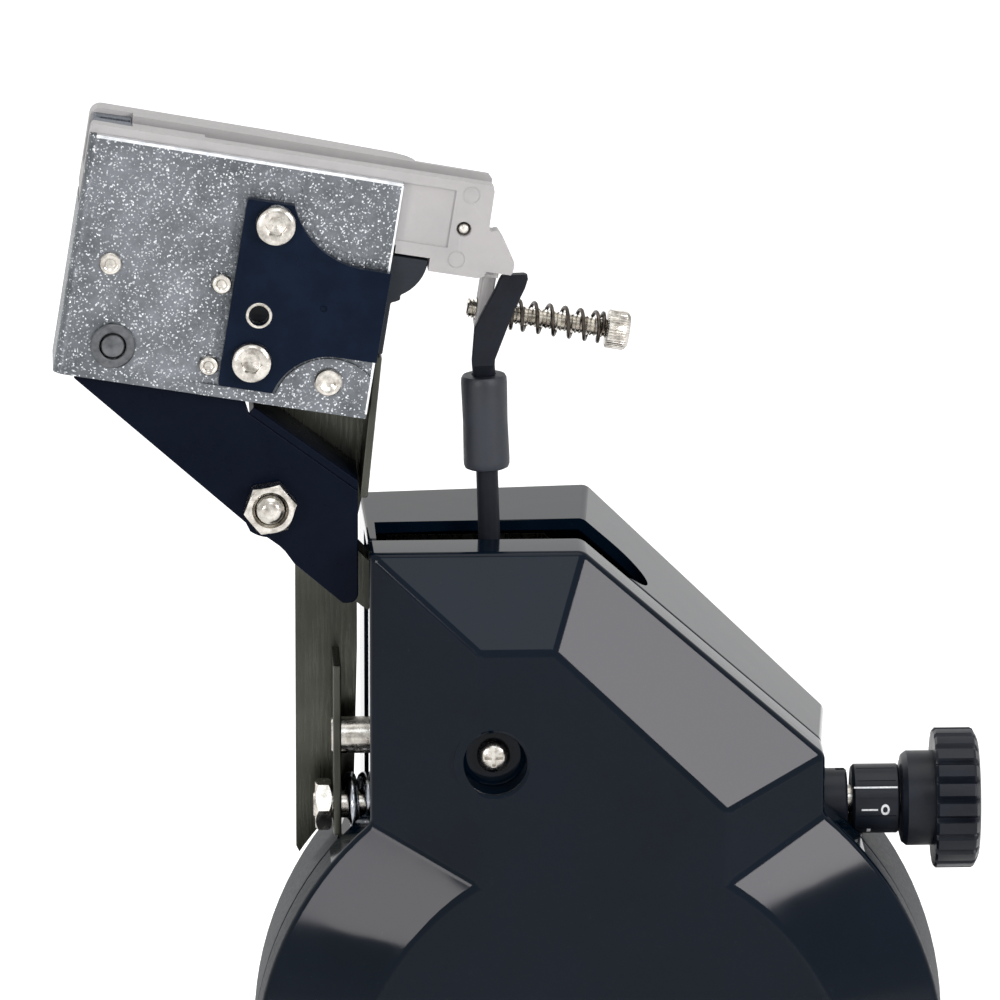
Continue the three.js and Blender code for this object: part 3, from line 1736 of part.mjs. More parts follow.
function buildCrank() {
  const shaft = barY(shaftRadius, shaftFrontY, shaftBackY, 0, 0);
  piece('crank_shaft', shaft, finishes.nickel);
  const bore = shaftRadius + gap;
  const frontStartY = frontPlateY - bearingOverhang;
  const frontEndY = frontPlateY + plateThickness + bearingOverhang;
  const front = ringY(bearingRadius, bore, frontStartY, frontEndY, 0, 0, fineSides);
  piece('bearing_front', front, finishes.bronze);
  const rearStartY = rearPlateY - bearingOverhang;
  const rearEndY = rearPlateY + plateThickness + bearingOverhang;
  const rear = ringY(bearingRadius, bore, rearStartY, rearEndY, 0, 0, fineSides);
  piece('bearing_rear', rear, finishes.bronze);
  piece('brake_drum', brakeDrum(), finishes.iron);
  piece('chain_sprocket', chainSprocket(), finishes.darkSteel);
  piece('crank_arm', crankArm(), finishes.zinc);
  const nutFarY = crankNearY - gap;
  const nutNearY = nutFarY - crankNutHeight;
  const nut = carve(
    barY(hexRadius(crankNutAcross), nutNearY, nutFarY, 0, 0, hexSides),
    barY(bore, nutNearY - overrun, nutFarY + overrun, 0, 0),
  );
  piece('crank_nut', nut, finishes.nickel);
  piece('crank_grip', crankGrip(), finishes.knobBlack);
  [['left', -idlerX], ['right', idlerX]].forEach(([side, x]) => {
    const roller = ringY(
      idlerRadius,
      idlerPinRadius + gap,
      sprocketNearY,
      sprocketFarY,
      x,
      idlerZ,
      fineSides,
    );
    piece(`idler_${side}`, roller, finishes.white);
    const headY = sprocketNearY - gap;
    piece(`idler_pin_${side}`, join(
      barY(idlerPinRadius + idlerFlange, headY - idlerFlange, headY, x, idlerZ),
      barY(idlerPinRadius, headY - gap, rearPlateY - gap, x, idlerZ),
    ), finishes.nickel);
  });
}

function buildSaddle() {
  const topZ = housingFlatZ - gap;
  const innerZ = topZ - saddleWall;
  const innerY = saddleHalfY - saddleWall;
  const shell = carve(
    block(-saddleHalfX, saddleHalfX, -saddleHalfY, saddleHalfY, saddleLowZ, topZ),
    block(
      -saddleHalfX - overrun,
      saddleHalfX + overrun,
      -innerY,
      innerY,
      saddleLowZ - overrun,
      innerZ,
    ),
    block(
      -chainWindowHalfX,
      chainWindowHalfX,
      chainWindowNearY,
      chainWindowFarY,
      innerZ - overrun,
      topZ + overrun,
    ),
    ...saddleScrewHoles(),
  );
  piece('rail_saddle', shell, finishes.aluminium);
  const padTopZ = innerZ - gap;
  const padLowZ = padTopZ - padThickness;
  [['left', -1], ['right', 1]].forEach(([side, sign]) => {
    const startX = Math.min(sign * padStartX, sign * padEndX);
    const endX = Math.max(sign * padStartX, sign * padEndX);
    const pad = block(startX, endX, -padHalfY, padHalfY, padLowZ, padTopZ);
    piece(`glide_pad_${side}`, pad, finishes.white);
    const x = sign * saddleScrewX;
    const headLowZ = padTopZ - saddleScrewHeadHeight;
    piece(`saddle_screw_${side}`, join(
      barZ(saddleScrewHeadRadius, headLowZ, padTopZ, x, saddleScrewY),
      barZ(saddleScrewRadius, headLowZ, basePlateTopZ, x, saddleScrewY),
    ), finishes.nickel);
  });
}

buildHousing();
buildFrame();
buildPivot();
buildKnob();
buildRocker();
buildGripper();
buildLever();
buildCrank();
buildSaddle();

// The head stands on its saddle: the origin is the middle of its box, on the floor
const head = new THREE.Group();
head.add(whole);
head.updateMatrixWorld(true);
const box = new THREE.Box3().setFromObject(head, true);
whole.position.set(-(box.min.x + box.max.x) / 2, -(box.min.y + box.max.y) / 2, -box.min.z);
console.log(`crank axis at ${whole.position.toArray().map((value) => value.toFixed(4))} mm`);

export default head;
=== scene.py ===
"""Looks of the tension head of a racket stringing machine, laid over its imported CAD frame."""

import math

import bmesh
import bpy
from mathutils import Matrix, Vector


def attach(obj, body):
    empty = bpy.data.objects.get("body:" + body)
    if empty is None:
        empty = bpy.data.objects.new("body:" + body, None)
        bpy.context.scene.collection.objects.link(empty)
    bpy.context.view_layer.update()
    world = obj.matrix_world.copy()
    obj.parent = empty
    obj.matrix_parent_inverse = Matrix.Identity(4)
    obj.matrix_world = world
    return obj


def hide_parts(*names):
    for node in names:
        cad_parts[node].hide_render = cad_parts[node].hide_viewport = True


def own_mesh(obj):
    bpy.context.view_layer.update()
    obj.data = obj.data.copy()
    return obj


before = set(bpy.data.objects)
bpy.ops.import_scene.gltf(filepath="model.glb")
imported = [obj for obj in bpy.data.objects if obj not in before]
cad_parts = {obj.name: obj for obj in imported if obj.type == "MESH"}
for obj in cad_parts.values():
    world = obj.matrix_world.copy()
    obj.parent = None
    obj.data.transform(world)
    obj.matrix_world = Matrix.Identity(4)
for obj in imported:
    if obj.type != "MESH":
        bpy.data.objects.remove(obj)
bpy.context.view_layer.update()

# Lengths are in millimetres from the crank axis, as in the CAD source
MM = 0.001
CRANK = Vector((17.0039, 44.65, 105.0))
GAP = 0.3
MID_Y = -8.5

# Housing
HOUSING_RIM = {
    "left": -49.3, "right": 48.1, "top": 125, "rise": 0, "slope_x": -3.7, "slope_z": 79.6,
    "centre": (0, 9.5), "radius": 74.5,
}
HOUSING_BACK = {
    "left": -50, "right": 51.4, "top": 125, "rise": 1.3, "slope_x": -0.6, "slope_z": 75.7,
    "centre": (2.2, 5), "radius": 75.5,
}
HOUSING_FACE = {
    "left": -26.3, "right": 26.6, "top": 105.2, "rise": 0, "slope_x": -10.2, "slope_z": 69.8,
    "centre": (0, 9.5), "radius": 51.5,
}
HOUSING_FOOT = (60, -66)
FACE_FOOT = (45, -52)
FACE_Y = -38
RIM_Y = -28.5
SEAM_Y = -16
SATIN_TOP_Z = 57
SATIN_LEAN = 0.3
BACK_Y = 28.5
BACK_BEVEL = 2
SHELL_WALL = 2.5
WALL_STEPS = 22
EDGE_ROUND = 1.1
SHELL_SCREW = (-23, 80.8)
COUNTERBORE_RADIUS = 6.7
COUNTERBORE_DEPTH = 8
SHAFT_HOLE_RADIUS = 7.5

# Pivot, tension rod and knob
PIVOT = (-70.2, 133)
ROD_Z = 64.4
SLEEVE_X = (45.3, 54)
SLEEVE_RADIUS = 6.65
BARREL_X = (55, 65.2)
BARREL_RADIUS = 7.5
COLLAR_X = (65.5, 72.7)
COLLAR_RADIUS = 10.25
KNOB_X = (72.7, 82.3)
KNOB_RADIUS = 15.15
KNOB_RIBS = 22
GROOVE_DEPTH = 1.1
GROOVE_SHARE = 0.4
INK_TOP = 0.03
INK_FOOT = -0.05
SPRING_X = (-54.8, 2.7)
SPRING_RADIUS = 5.8
SPRING_WIRE = 2.4
SPRING_TURNS = 12
ROUND_ROD = ("X", (0, MID_Y, ROD_Z))

# Gripper, whose own frame is U along it, Y across it and W up from its lower left corner
GRIPPER = (-116.9, 163.2)
TILT = math.radians(9.2)
BRACKET = (68, 52.6)
BRACKET_DROP = 0.7
BRACKET_LEFT = 0.6
BRACKET_Y = (-20, -18)
RECESS_U = (27.5, 34.7)
RECESS_W = (2.6, 48)
RECESS_DEPTH = 0.8
CAM_U = (35.6, 68.2)
CAM_W = (3.1, 44.1)
CAM_Y = (-22, -19.5)
UPPER_LOBE = (62.6, 50.8, 16)
LOWER_LOBE = (59.8, 0, 12)
CAM_HOLE = (41.9, 19.4, 2.2)
UPPER_CUT = 2.2
LOWER_CUT = 0.9
CAM_SCREWS = {"cam_screw_upper": (42.3, 39.7), "cam_screw_lower": (41.8, 9.5)}
STUD = (12.3, 7.9)
RIVETS = {
    "rivet_left": (9.1, 25.5, 2.4),
    "rivet_middle": (33.1, 24.7, 2.1),
    "rivet_lower": (33.1, 6.7, 2.1),
    "rivet_right": (58.8, 6.9, 3),
}
CASTING_PIN = (82.2, 43.6)
JAW_Y = -9.4
JAW_ANGLE = math.radians(3)
JAW_HALF = 4.4
TRIP_Y = -5.5
TRIP_W = 24.2
ROUND_TRIP = ("X", (0, TRIP_Y, TRIP_W))
SPINE_Y = (1, 3)
BEFORE_SPINE_Y = SPINE_Y[0] - GAP
CASTING_Y = -17.7
RAIL_END_U = 70.5
TRIP_HEAD_U = (116.6, 121.5)
M5_HOLE = 2.7
RIVET_HOLE = 1.8
STUD_HOLE = 2.9

# Rocker arm and brake lever
ARM_Y = (-16.5, -14.5)
ARM_CORNER = (-51.4, 135.8)
ARM_HEAD = (-74.6, 153)
ARM_FLANGE = 1.8
M6_HOLE = 3.3
STOP_Z = 79.8
LEVER = (-22, 92)
LEVER_LEAN = math.radians(-1.9)
LEVER_ROD = 2.35
BLADE_Y = -12.75
SHOE_RADII = (31.5, 36)
SHOE_Y = (4, 12)
SHOE_TURN = (118, 146)

# Crank, brake drum and chain idlers
AXIS = (0, 0)
CRANK_ARM_Y = (-47, -41)
GRIP_PLACE = (0, -85)
GRIP_Y = (-119.3, -47.3)
SHAFT_BORE = 6.3
SPROCKET_Y = (14, 17)
IDLER_X = 25
IDLER_Z = -46


def linear(hex_colour):
    """An sRGB hex colour as the linear colour that the shaders take."""
    channels = [int(hex_colour[i:i + 2], 16) / 255 for i in (1, 3, 5)]
    return [c / 12.92 if c <= 0.04045 else ((c + 0.055) / 1.055) ** 2.4 for c in channels] + [1]


# Materials

# A noise pattern's values lie mostly between these two
NOISE_LOW = 0.35
NOISE_HIGH = 0.65


def add(material, kind, settings=None, inputs=None):
    """Adds one node: an input given as another node's output is linked, anything else is its value."""
    tree = material.node_tree
    node = tree.nodes.new("ShaderNode" + kind)
    for name, value in (settings or {}).items():
        setattr(node, name, value)
    for name, value in (inputs or {}).items():
        if isinstance(value, bpy.types.NodeSocket):
            tree.links.new(value, node.inputs[name])
        else:
            node.inputs[name].default_value = value
    return node


def cells(size_mm):
    """Texture scale at which one cell or wave is this long."""
    return 1 / (size_mm * MM)


def finish(name, **values):
    """A material of one Principled shader, with the values that are the same all over."""
    material = bpy.data.materials.new(name)
    material.use_nodes = True
    material.node_tree.nodes.clear()
    shader = add(material, "BsdfPrincipled", inputs=values)
    add(material, "OutputMaterial", inputs={"Surface": shader.outputs[0]})
    place = add(material, "TexCoord").outputs["Object"]
    return material, shader, place


def connect(material, shader, **links):
    for name, output in links.items():
        material.node_tree.links.new(output, shader.inputs[name.replace("_", " ")])


def cloudy(place, size_mm, detail=3, rough=0.6):
    """The values of a noise whose clouds are this long."""
    return {"Vector": place, "Scale": cells(size_mm), "Detail": detail, "Roughness": rough}


def between(factor, low, high, start=NOISE_LOW, end=NOISE_HIGH):
    """The values that turn a pattern's range into another range."""
    return {"Value": factor, "From Min": start, "From Max": end, "To Min": low, "To Max": high}


def raised(height, depth_mm):
    """The values of a relief that is this deep."""
    return {"Height": height, "Distance": depth_mm * MM, "Strength": 1.0}


def two_tone(material, factor, low, high, *ends):
    """Goes from one colour to another while the factor goes through a range."""
    share = add(material, "MapRange", inputs=between(factor, 0, 1, *ends)).outputs[0]
    mix = add(material, "Mix", {"data_type": "RGBA"}, {0: share})
    for socket, colour in ((6, low), (7, high)):
        if isinstance(colour, bpy.types.NodeSocket):
            material.node_tree.links.new(colour, mix.inputs[socket])
        else:
            mix.inputs[socket].default_value = linear(colour)
    return mix.outputs[2]


def surface(name, mottle, tones, sheen, grain=None, depth_mm=0, ends=(NOISE_LOW, NOISE_HIGH), rub=None,
            grainy=False, **values):
    """A finish whose tone goes with a mottle, and whose sheen goes with that or with its grain.

    A grain that is too fine to show on the real thing is drawn as coarse as it needs to show.
    """
    material, shader, place = finish(name, **values)
    pattern = add(material, "TexNoise", inputs=cloudy(place, *mottle)).outputs["Fac"]
    tone = two_tone(material, pattern, *tones, *ends)
    if rub:
        rubbed, colour, rub_ends = rub
        worn = add(material, "TexNoise", inputs=cloudy(place, *rubbed)).outputs["Fac"]
        tone = two_tone(material, worn, tone, colour, *rub_ends)
    fine = pattern
    if grain:
        fine = add(material, "TexNoise", inputs=cloudy(place, *grain)).outputs["Fac"]
        connect(material, shader, Normal=add(material, "Bump", inputs=raised(fine, depth_mm)).outputs[0])
    gloss = add(material, "MapRange", inputs=between(fine if grainy else pattern, *sheen)).outputs[0]
    connect(material, shader, Base_Color=tone, Roughness=gloss)
    return material, shader


def block_acetal():
    """Machined black acetal: matt, slightly waxy, with tool lines drawn coarser than real ones."""
    material, shader, place = finish("machined_black_acetal", IOR=1.4)
    lines = add(material, "TexWave", {"bands_direction": "Z"}, {
        "Vector": place, "Scale": cells(3.2), "Distortion": 1.5, "Detail": 2}).outputs["Fac"]
    wear = add(material, "TexNoise", inputs=cloudy(place, 6)).outputs["Fac"]
    tone = two_tone(material, wear, "#080f17", "#0f1720")
    sheen = add(material, "MapRange", inputs=between(wear, 0.42, 0.58)).outputs[0]
    relief = add(material, "Bump", inputs=raised(lines, 0.01)).outputs[0]
    connect(material, shader, Base_Color=tone, Roughness=sheen, Normal=relief)
    return material


def coated_steel(name, low, high, ior, roughness, scuffs):
    """Black-coated steel: a thin even paint with bare grey showing in scuffs."""
    sheen = (roughness - 0.05, roughness + 0.07)
    rub = ((2.4, 5, 0.75), "#4b5057", scuffs)
    return surface(name, (11, 5, 0.7), (low, high), sheen, (0.5, 2), 0.015, rub=rub, IOR=ior)[0]


def zinc_plate(name, low, high, glint):
    """Zinc-plated sheet: mottled grey, with pale specks painted on some crystals as their glints, a little
    coarser than real ones.
    """
    material, shader, place = finish(name, Metallic=0.85)
    crystals = add(material, "TexVoronoi", inputs={"Vector": place, "Scale": cells(0.3)})
    blotch = add(material, "TexNoise", inputs=cloudy(place, 11, 5, 0.7)).outputs["Fac"]
    tint = two_tone(material, blotch, low, high, 0.3, 0.7)
    bright = add(material, "SeparateColor", inputs={"Color": crystals.outputs["Color"]})
    # The palest crystals take the near-white colour: a painted glint, not their own colour
    glint_specked = two_tone(material, bright.outputs[0], tint, glint, 0.86, 1.0)
    sheen = add(material, "MapRange", inputs=between(bright.outputs[1], 0.3, 0.52, 0, 1)).outputs[0]
    # Each crystal leans a little its own way, which makes the plating glitter beside the painted glints
    lean = add(material, "VectorMath", {"operation": "MULTIPLY_ADD"}, {
        0: crystals.outputs["Color"], 1: (0.3, 0.3, 0.3), 2: (-0.15, -0.15, -0.15)}).outputs[0]
    normal = add(material, "NewGeometry").outputs["Normal"]
    leaning = add(material, "VectorMath", {"operation": "ADD"}, {0: normal, 1: lean}).outputs[0]
    unit = add(material, "VectorMath", {"operation": "NORMALIZE"}, {0: leaning}).outputs[0]
    connect(material, shader, Base_Color=glint_specked, Roughness=sheen, Normal=unit)
    return material


def dark_zinc():
    """Zinc on thick plate, gone dark: olive grey in its film, with rolling lines coarser than real ones."""
    material, shader, place = finish("rolled_zinc_plate", Metallic=0.9)
    stretched = add(material, "Mapping", inputs={"Vector": place, "Scale": (1, 1, 0.05)}).outputs[0]
    lines = add(material, "TexNoise", inputs=cloudy(stretched, 0.6)).outputs["Fac"]
    film = add(material, "TexNoise", inputs=cloudy(place, 24)).outputs["Fac"]
    tone = two_tone(material, film, "#33342f", "#4a4b44", 0.3, 0.7)
    sheen = add(material, "MapRange", inputs=between(lines, 0.22, 0.4)).outputs[0]
    relief = add(material, "Bump", inputs=raised(lines, 0.02)).outputs[0]
    connect(material, shader, Base_Color=tone, Roughness=sheen, Normal=relief)
    return material


def plated(name, low, high, rough, size_mm=2.5):
    """Turned or plated metal: bright, with a darker film in small clouds and a fine grain."""
    sheen = (rough - 0.06, rough + 0.08)
    mottle = (size_mm, 4, 0.65)
    return surface(name, mottle, (low, high), sheen, (0.25, 2), 0.006, (0.32, 0.62), Metallic=1.0)[0]


# Injection-moulded gloss ABS: deep blue-black, with faint waviness, fine dust and rub haze
ABS, _ = surface("moulded_gloss_black_abs", (38, 4), ("#030e19", "#071320"), (0.06, 0.11), (22, 2), 0.04,
                 rub=((0.7, 2), "#1a222b", (0.68, 0.82)), IOR=1.22)
# The same ABS where the mould leaves its side walls satin, so that they look grey and not mirror-like
ABS_SIDE, _ = surface("moulded_satin_black_abs_side", (30, 3), ("#0c1118", "#141a21"), (0.5, 0.6), (0.9, 3),
                      0.03, grainy=True, IOR=1.25)
# Moulded glass-filled nylon: near black with a satin skin and a fine eroded-tool texture
NYLON, _ = surface("satin_black_nylon", (9, 4), ("#0c1017", "#151a23"), (0.3, 0.42), (0.35, 2), 0.02,
                   IOR=1.3)
ACETAL = block_acetal()
# Dipped rubber: soft dark grey-blue, matt, with a pebbled skin and pale bloom
RUBBER, _ = surface("matt_grey_rubber", (7, 4), ("#1c2027", "#292e36"), (0.42, 0.6), (0.8, 3), 0.05,
                    IOR=1.45)
# Painted arm: deep blue-black. Blued cam plate: a shade lighter. Coated lever: greyer and more matt
ARM_PAINT = coated_steel("satin_black_painted_steel", "#060d1c", "#0b1220", 1.13, 0.3, (0.76, 0.88))
CAM_PAINT = coated_steel("blued_black_steel_plate", "#0c1626", "#121d2e", 1.14, 0.34, (0.78, 0.9))
LEVER_PAINT = coated_steel("matt_black_coated_steel", "#181b21", "#21242b", 1.2, 0.45, (0.76, 0.9))
# Spangled zinc: a grey mottle, with near-white painted glints on some crystals
SPANGLE_GLINTS = zinc_plate("spangled_zinc_painted_glints", "#55595c", "#7e8287", "#dfe3e6")
PLATE = dark_zinc()
# Powder-coated die casting: pale grey, matt, with a fine orange-peel skin and grey handling marks
CASTING, _ = surface("pale_grey_powder_coated_casting", (13, 5, 0.7), ("#aeadac", "#b7b5b4"), (0.42, 0.56),
                     (0.9, 2), 0.03, (0.3, 0.6), ((3.2, 5, 0.8), "#a09f9e", (0.64, 0.82)), True, IOR=1.45)
# Bright metals: warm nickel, brown oiled spring, paler bare spring, and a painted white highlight for the
# sheet's sheared edges
NICKEL = plated("nickel_plated_steel", "#8c877f", "#d6d2ca", 0.24)
SPRING = plated("oiled_spring_steel", "#2b2722", "#57504a", 0.32)
BIG_SPRING = plated("bright_spring_steel", "#7d8085", "#b9bdc4", 0.2)
# A painted highlight: near-white strips laid over the bracket's edges
EDGE_HIGHLIGHT = plated("sheared_edge_painted_highlight", "#c9cccf", "#eceef0", 0.34)
# Duller metals: dark phosphate, mottled jaw grit, turned iron, brown bronze and satin aluminium
DARK = plated("phosphated_dark_steel", "#4c4e50", "#6a6c6e", 0.42)
JAW = plated("grit_coated_jaw_steel", "#4a4e55", "#7b8087", 0.5, 0.5)
IRON = plated("turned_grey_iron", "#4b4e52", "#6d7074", 0.4)
BRONZE = plated("sintered_bronze", "#6e5230", "#97743f", 0.42)
ALUMINIUM = plated("satin_anodised_aluminium", "#9b9fa3", "#b4b8bb", 0.34, 6)
# Natural nylon: milky white, waxy, letting a little light in
WHITE, white_shader = surface("natural_white_nylon", (5, 3), ("#d4d2c8", "#e2e0d8"), (0.35, 0.5), (0.4, 2),
                              0.015, IOR=1.53, **{"Subsurface Weight": 0.15})
white_shader.inputs["Subsurface Radius"].default_value = (MM, MM, MM)
# Pad-printed white ink: chalky, and a little uneven in tone
INK, _ = surface("white_pad_print", (0.5, 3), ("#c9ccce", "#eef0f0"), (0.5, 0.7), IOR=1.5)


# Forms, made in millimetres from the crank axis

# Points closer than this are one, and faces that turn by less than this are one flat
SAME_POINT = 0.001
SAME_FLAT = 0.002


def from_gripper(point):
    """A point of the gripper's own U, Y and W in X, Y and Z."""
    u, y, w = point
    cos, sin = math.cos(TILT), math.sin(TILT)
    return Vector((GRIPPER[0] + u * cos + w * sin, y, GRIPPER[1] - u * sin + w * cos))


def from_lever(point):
    """A point drawn from the lever's pin, with the lever's lean, in X, Y and Z."""
    x, y, z = point
    cos, sin = math.cos(LEVER_LEAN), math.sin(LEVER_LEAN)
    return Vector((LEVER[0] + x * cos + z * sin, y, LEVER[1] - x * sin + z * cos))


def arc(centre, radius, start, end, steps):
    """Points on an arc in the X and Z plane, with its angles in degrees."""
    turns = [math.radians(start + (end - start) * i / steps) for i in range(steps + 1)]
    return [(centre[0] + radius * math.cos(t), centre[1] + radius * math.sin(t)) for t in turns]


def rounded(points, radius, steps=5):
    """An outline with each corner turned into a small arc."""
    result = []
    for i, corner in enumerate(points):
        here = Vector(corner)
        back = Vector(points[i - 1]) - here
        ahead = Vector(points[(i + 1) % len(points)]) - here
        half = back.angle(ahead) / 2
        reach = min(radius / math.tan(half), back.length * 0.48, ahead.length * 0.48)
        start = here + back.normalized() * reach
        end = here + ahead.normalized() * reach
        for k in range(steps + 1):
            t = k / steps
            result.append(tuple(start.lerp(here, t).lerp(here.lerp(end, t), t)))
    return result


def inset(points, distance):
    """Moves an anticlockwise outline inwards."""
    result = []
    for i, corner in enumerate(points):
        here = Vector(corner)
        before = (here - Vector(points[i - 1])).normalized()
        after = (Vector(points[(i + 1) % len(points)]) - here).normalized()
        a = Vector((-before.y, before.x))
        b = Vector((-after.y, after.x))
        result.append(tuple(here + (a + b) * (distance / (1 + a.dot(b)))))
    return result


def skin(rings, round_trip=False):
    """A surface through rings of equal counts, with its ends filled or its last ring joined to its first."""
    form = bmesh.new()
    rows = [[form.verts.new(p) for p in ring] for ring in rings]
    count = len(rows[0])
    pairs = list(zip(rows, rows[1:]))
    if round_trip:
        pairs.append((rows[-1], rows[0]))
    for low, high in pairs:
        for i in range(count):
            j = (i + 1) % count
            form.faces.new((low[i], low[j], high[j], high[i]))
    if not round_trip:
        form.faces.new(rows[0][::-1])
        form.faces.new(rows[-1])
    bmesh.ops.recalc_face_normals(form, faces=form.faces)
    return form


def prism(outline, near, far):
    """An outline in X and Z, or in U and W, with its thickness along Y."""
    return skin([[(x, y, z) for x, z in outline] for y in (near, far)])


def level_prism(outline, low, high):
    """An outline in X and Y, or in U and Y, with its thickness along Z or W."""
    return skin([[(x, y, z) for x, y in outline] for z in (low, high)])


def box(low_x, high_x, low_y, high_y, low_z, high_z):
    return prism([(low_x, low_z), (high_x, low_z), (high_x, high_z), (low_x, high_z)], low_y, high_y)


def axial(axis, along, a, b):
    """A point given by its place along an axis and two places across it."""
    return Vector({"X": (along, a, b), "Y": (a, along, b), "Z": (a, b, along)}[axis])


def along_y(place):
    """Axis and centre of a round thing along Y, at a place in X and Z, or in U and W."""
    return "Y", (place[0], 0, place[1])


def turned(profile, axis, centre, steps=48, closed=True):
    """A turned body from points of radius and place along its axis; a closed profile has a bore."""
    rings = []
    for radius, along in profile:
        ring = []
        for i in range(steps):
            turn = 2 * math.pi * i / steps
            across = radius * math.cos(turn), radius * math.sin(turn)
            ring.append(axial(axis, along, *across) + Vector(centre))
        rings.append(ring)
    return skin(rings, round_trip=closed)


def bar(radius, start, end, axis, centre, steps=48, chamfer=0.0):
    """A plain round bar, or a hexagon one of six steps."""
    profile = [(radius, start), (radius, end)]
    if chamfer:
        profile = [(radius - chamfer, start), (radius, start + chamfer)]
        profile += [(radius, end - chamfer), (radius - chamfer, end)]
    return turned(profile, axis, centre, steps, closed=False)


def peg(radius, near, far, place, steps=48, chamfer=0.0):
    """A round bar along Y."""
    return bar(radius, near, far, *along_y(place), steps, chamfer)


def spun(profile, place, steps=48, closed=True):
    """A turned body along Y."""
    return turned(profile, *along_y(place), steps, closed)


def ridged(profile, radius, count, centre, groove):
    """A body round X whose rings each say where they are, how they grow and how far the grooves reach."""
    rings = []
    for along, grow, share in profile:
        ring = []
        for i in range(count):
            turn = 2 * math.pi * i / count
            r = radius + grow - groove(i, share)
            ring.append((along, centre[1] + r * math.cos(turn), centre[2] + r * math.sin(turn)))
        rings.append(ring)
    return skin(rings)


def tube(path, radius, sides):
    """A round wire along a path of points."""
    points = [Vector(p) for p in path]
    rings = []
    side = None
    for i, point in enumerate(points):
        ahead = (points[min(i + 1, len(points) - 1)] - points[max(i - 1, 0)]).normalized()
        if side is None:
            side = ahead.orthogonal().normalized()
        side = (side - ahead * side.dot(ahead)).normalized()
        across = ahead.cross(side)
        turns = [2 * math.pi * k / sides for k in range(sides)]
        rings.append([point + (side * math.cos(t) + across * math.sin(t)) * radius for t in turns])
    return skin(rings)


def coil(radius, wire, turns, start, end, centre, steps, sides):
    """A compression spring along X whose first and last turn lie close to their neighbours."""
    count = int(turns * steps)
    dead = wire * 1.08
    path = []
    for i in range(count + 1):
        turn = i / steps
        if turn < 1:
            along = wire / 2 + turn * dead
        elif turn > turns - 1:
            along = (end - start) - wire / 2 - (turns - turn) * dead
        else:
            share = (turn - 1) / (turns - 2)
            along = wire / 2 + dead + share * ((end - start) - wire - 2 * dead)
        angle = 2 * math.pi * turn
        place = (start + along, radius * math.cos(angle), radius * math.sin(angle))
        path.append(Vector(place) + Vector(centre))
    return tube(path, wire / 2, sides)


def thread(radius, pitch, start, end, axis, centre, steps=20):
    """A screw thread as one spiral ridge over the length of a shank."""
    depth = pitch * 0.5
    rows = int((end - start) / pitch * 2)
    form = bmesh.new()
    grid = []
    for k in range(rows + 1):
        row = []
        for i in range(steps + 1):
            turn = 2 * math.pi * i / steps
            along = min(start + (k / 2 + i / steps) * pitch, end)
            r = radius - (depth if k % 2 else 0)
            across = r * math.cos(turn), r * math.sin(turn)
            row.append(form.verts.new(axial(axis, along, *across) + Vector(centre)))
        grid.append(row)
    for low, high in zip(grid, grid[1:]):
        for i in range(steps):
            form.faces.new((low[i], low[i + 1], high[i + 1], high[i]))
    bmesh.ops.remove_doubles(form, verts=form.verts, dist=SAME_POINT)
    bmesh.ops.recalc_face_normals(form, faces=form.faces)
    return form


def soften(form, width, segments=3, angle=25):
    """Rounds every edge that turns by more than an angle in degrees."""
    limit = math.radians(angle)
    edges = [e for e in form.edges if e.is_manifold and e.calc_face_angle(0) > limit]
    bmesh.ops.bevel(form, geom=edges, offset=width, segments=segments, profile=0.5,
                    affect="EDGES", clamp_overlap=True)
    return form


def merged(*forms):
    """Several bodies as one mesh, each kept whole."""
    result = bmesh.new()
    for form in forms:
        mesh = bpy.data.meshes.new("part")
        form.to_mesh(mesh)
        result.from_mesh(mesh)
        bpy.data.meshes.remove(mesh)
    return result


def put(name, data):
    """A new object in the scene."""
    made = bpy.data.objects.new(name, data)
    bpy.context.scene.collection.objects.link(made)
    return made


def shape(form):
    mesh = bpy.data.meshes.new("shape")
    form.to_mesh(mesh)
    return put("shape", mesh)


def cut(form, *tools, operation="DIFFERENCE"):
    """Takes tools out of a body, joins them to it, or keeps what they share."""
    body = shape(form)
    helpers = [shape(tool) for tool in tools]
    for helper in helpers:
        step = body.modifiers.new("cut", "BOOLEAN")
        step.object = helper
        step.operation = operation
        step.solver = "EXACT"
    result = bmesh.new()
    result.from_object(body, bpy.context.evaluated_depsgraph_get())
    for made in [body, *helpers]:
        mesh = made.data
        bpy.data.objects.remove(made)
        bpy.data.meshes.remove(mesh)
    bmesh.ops.remove_doubles(result, verts=result.verts, dist=SAME_POINT)
    bmesh.ops.dissolve_limit(result, angle_limit=SAME_FLAT, verts=result.verts, edges=result.edges)
    return result


def joined(form, *others):
    return cut(form, *others, operation="UNION")


def piece(name, form, body, material, nodes, place=Vector, smooth=32):
    """Makes one named piece: its form goes into the frame and onto its body."""
    for vert in form.verts:
        vert.co = (place(vert.co) + CRANK) * MM
    bmesh.ops.recalc_face_normals(form, faces=form.faces)
    limit = math.radians(smooth)
    for edge in form.edges:
        edge.smooth = edge.is_manifold and edge.calc_face_angle(0) < limit
    for face in form.faces:
        face.smooth = True
    mesh = bpy.data.meshes.new(name)
    form.to_mesh(mesh)
    form.free()
    made = put(name, mesh)
    mesh.materials.append(material)
    weigh = made.modifiers.new("even_faces", "WEIGHTED_NORMAL")
    weigh.keep_sharp = True
    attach(made, body)
    if nodes:
        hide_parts(*nodes)
    return made


def hex_socket(across, depth, top, centre):
    """The tool for a hexagon socket, open towards the front, with a drilled point at its end."""
    radius = across / math.sqrt(3)
    rings = [(radius, top - 1), (radius, top + depth), (0.4, top + depth + 0.5)]
    return spun(rings, centre, 6, closed=False)


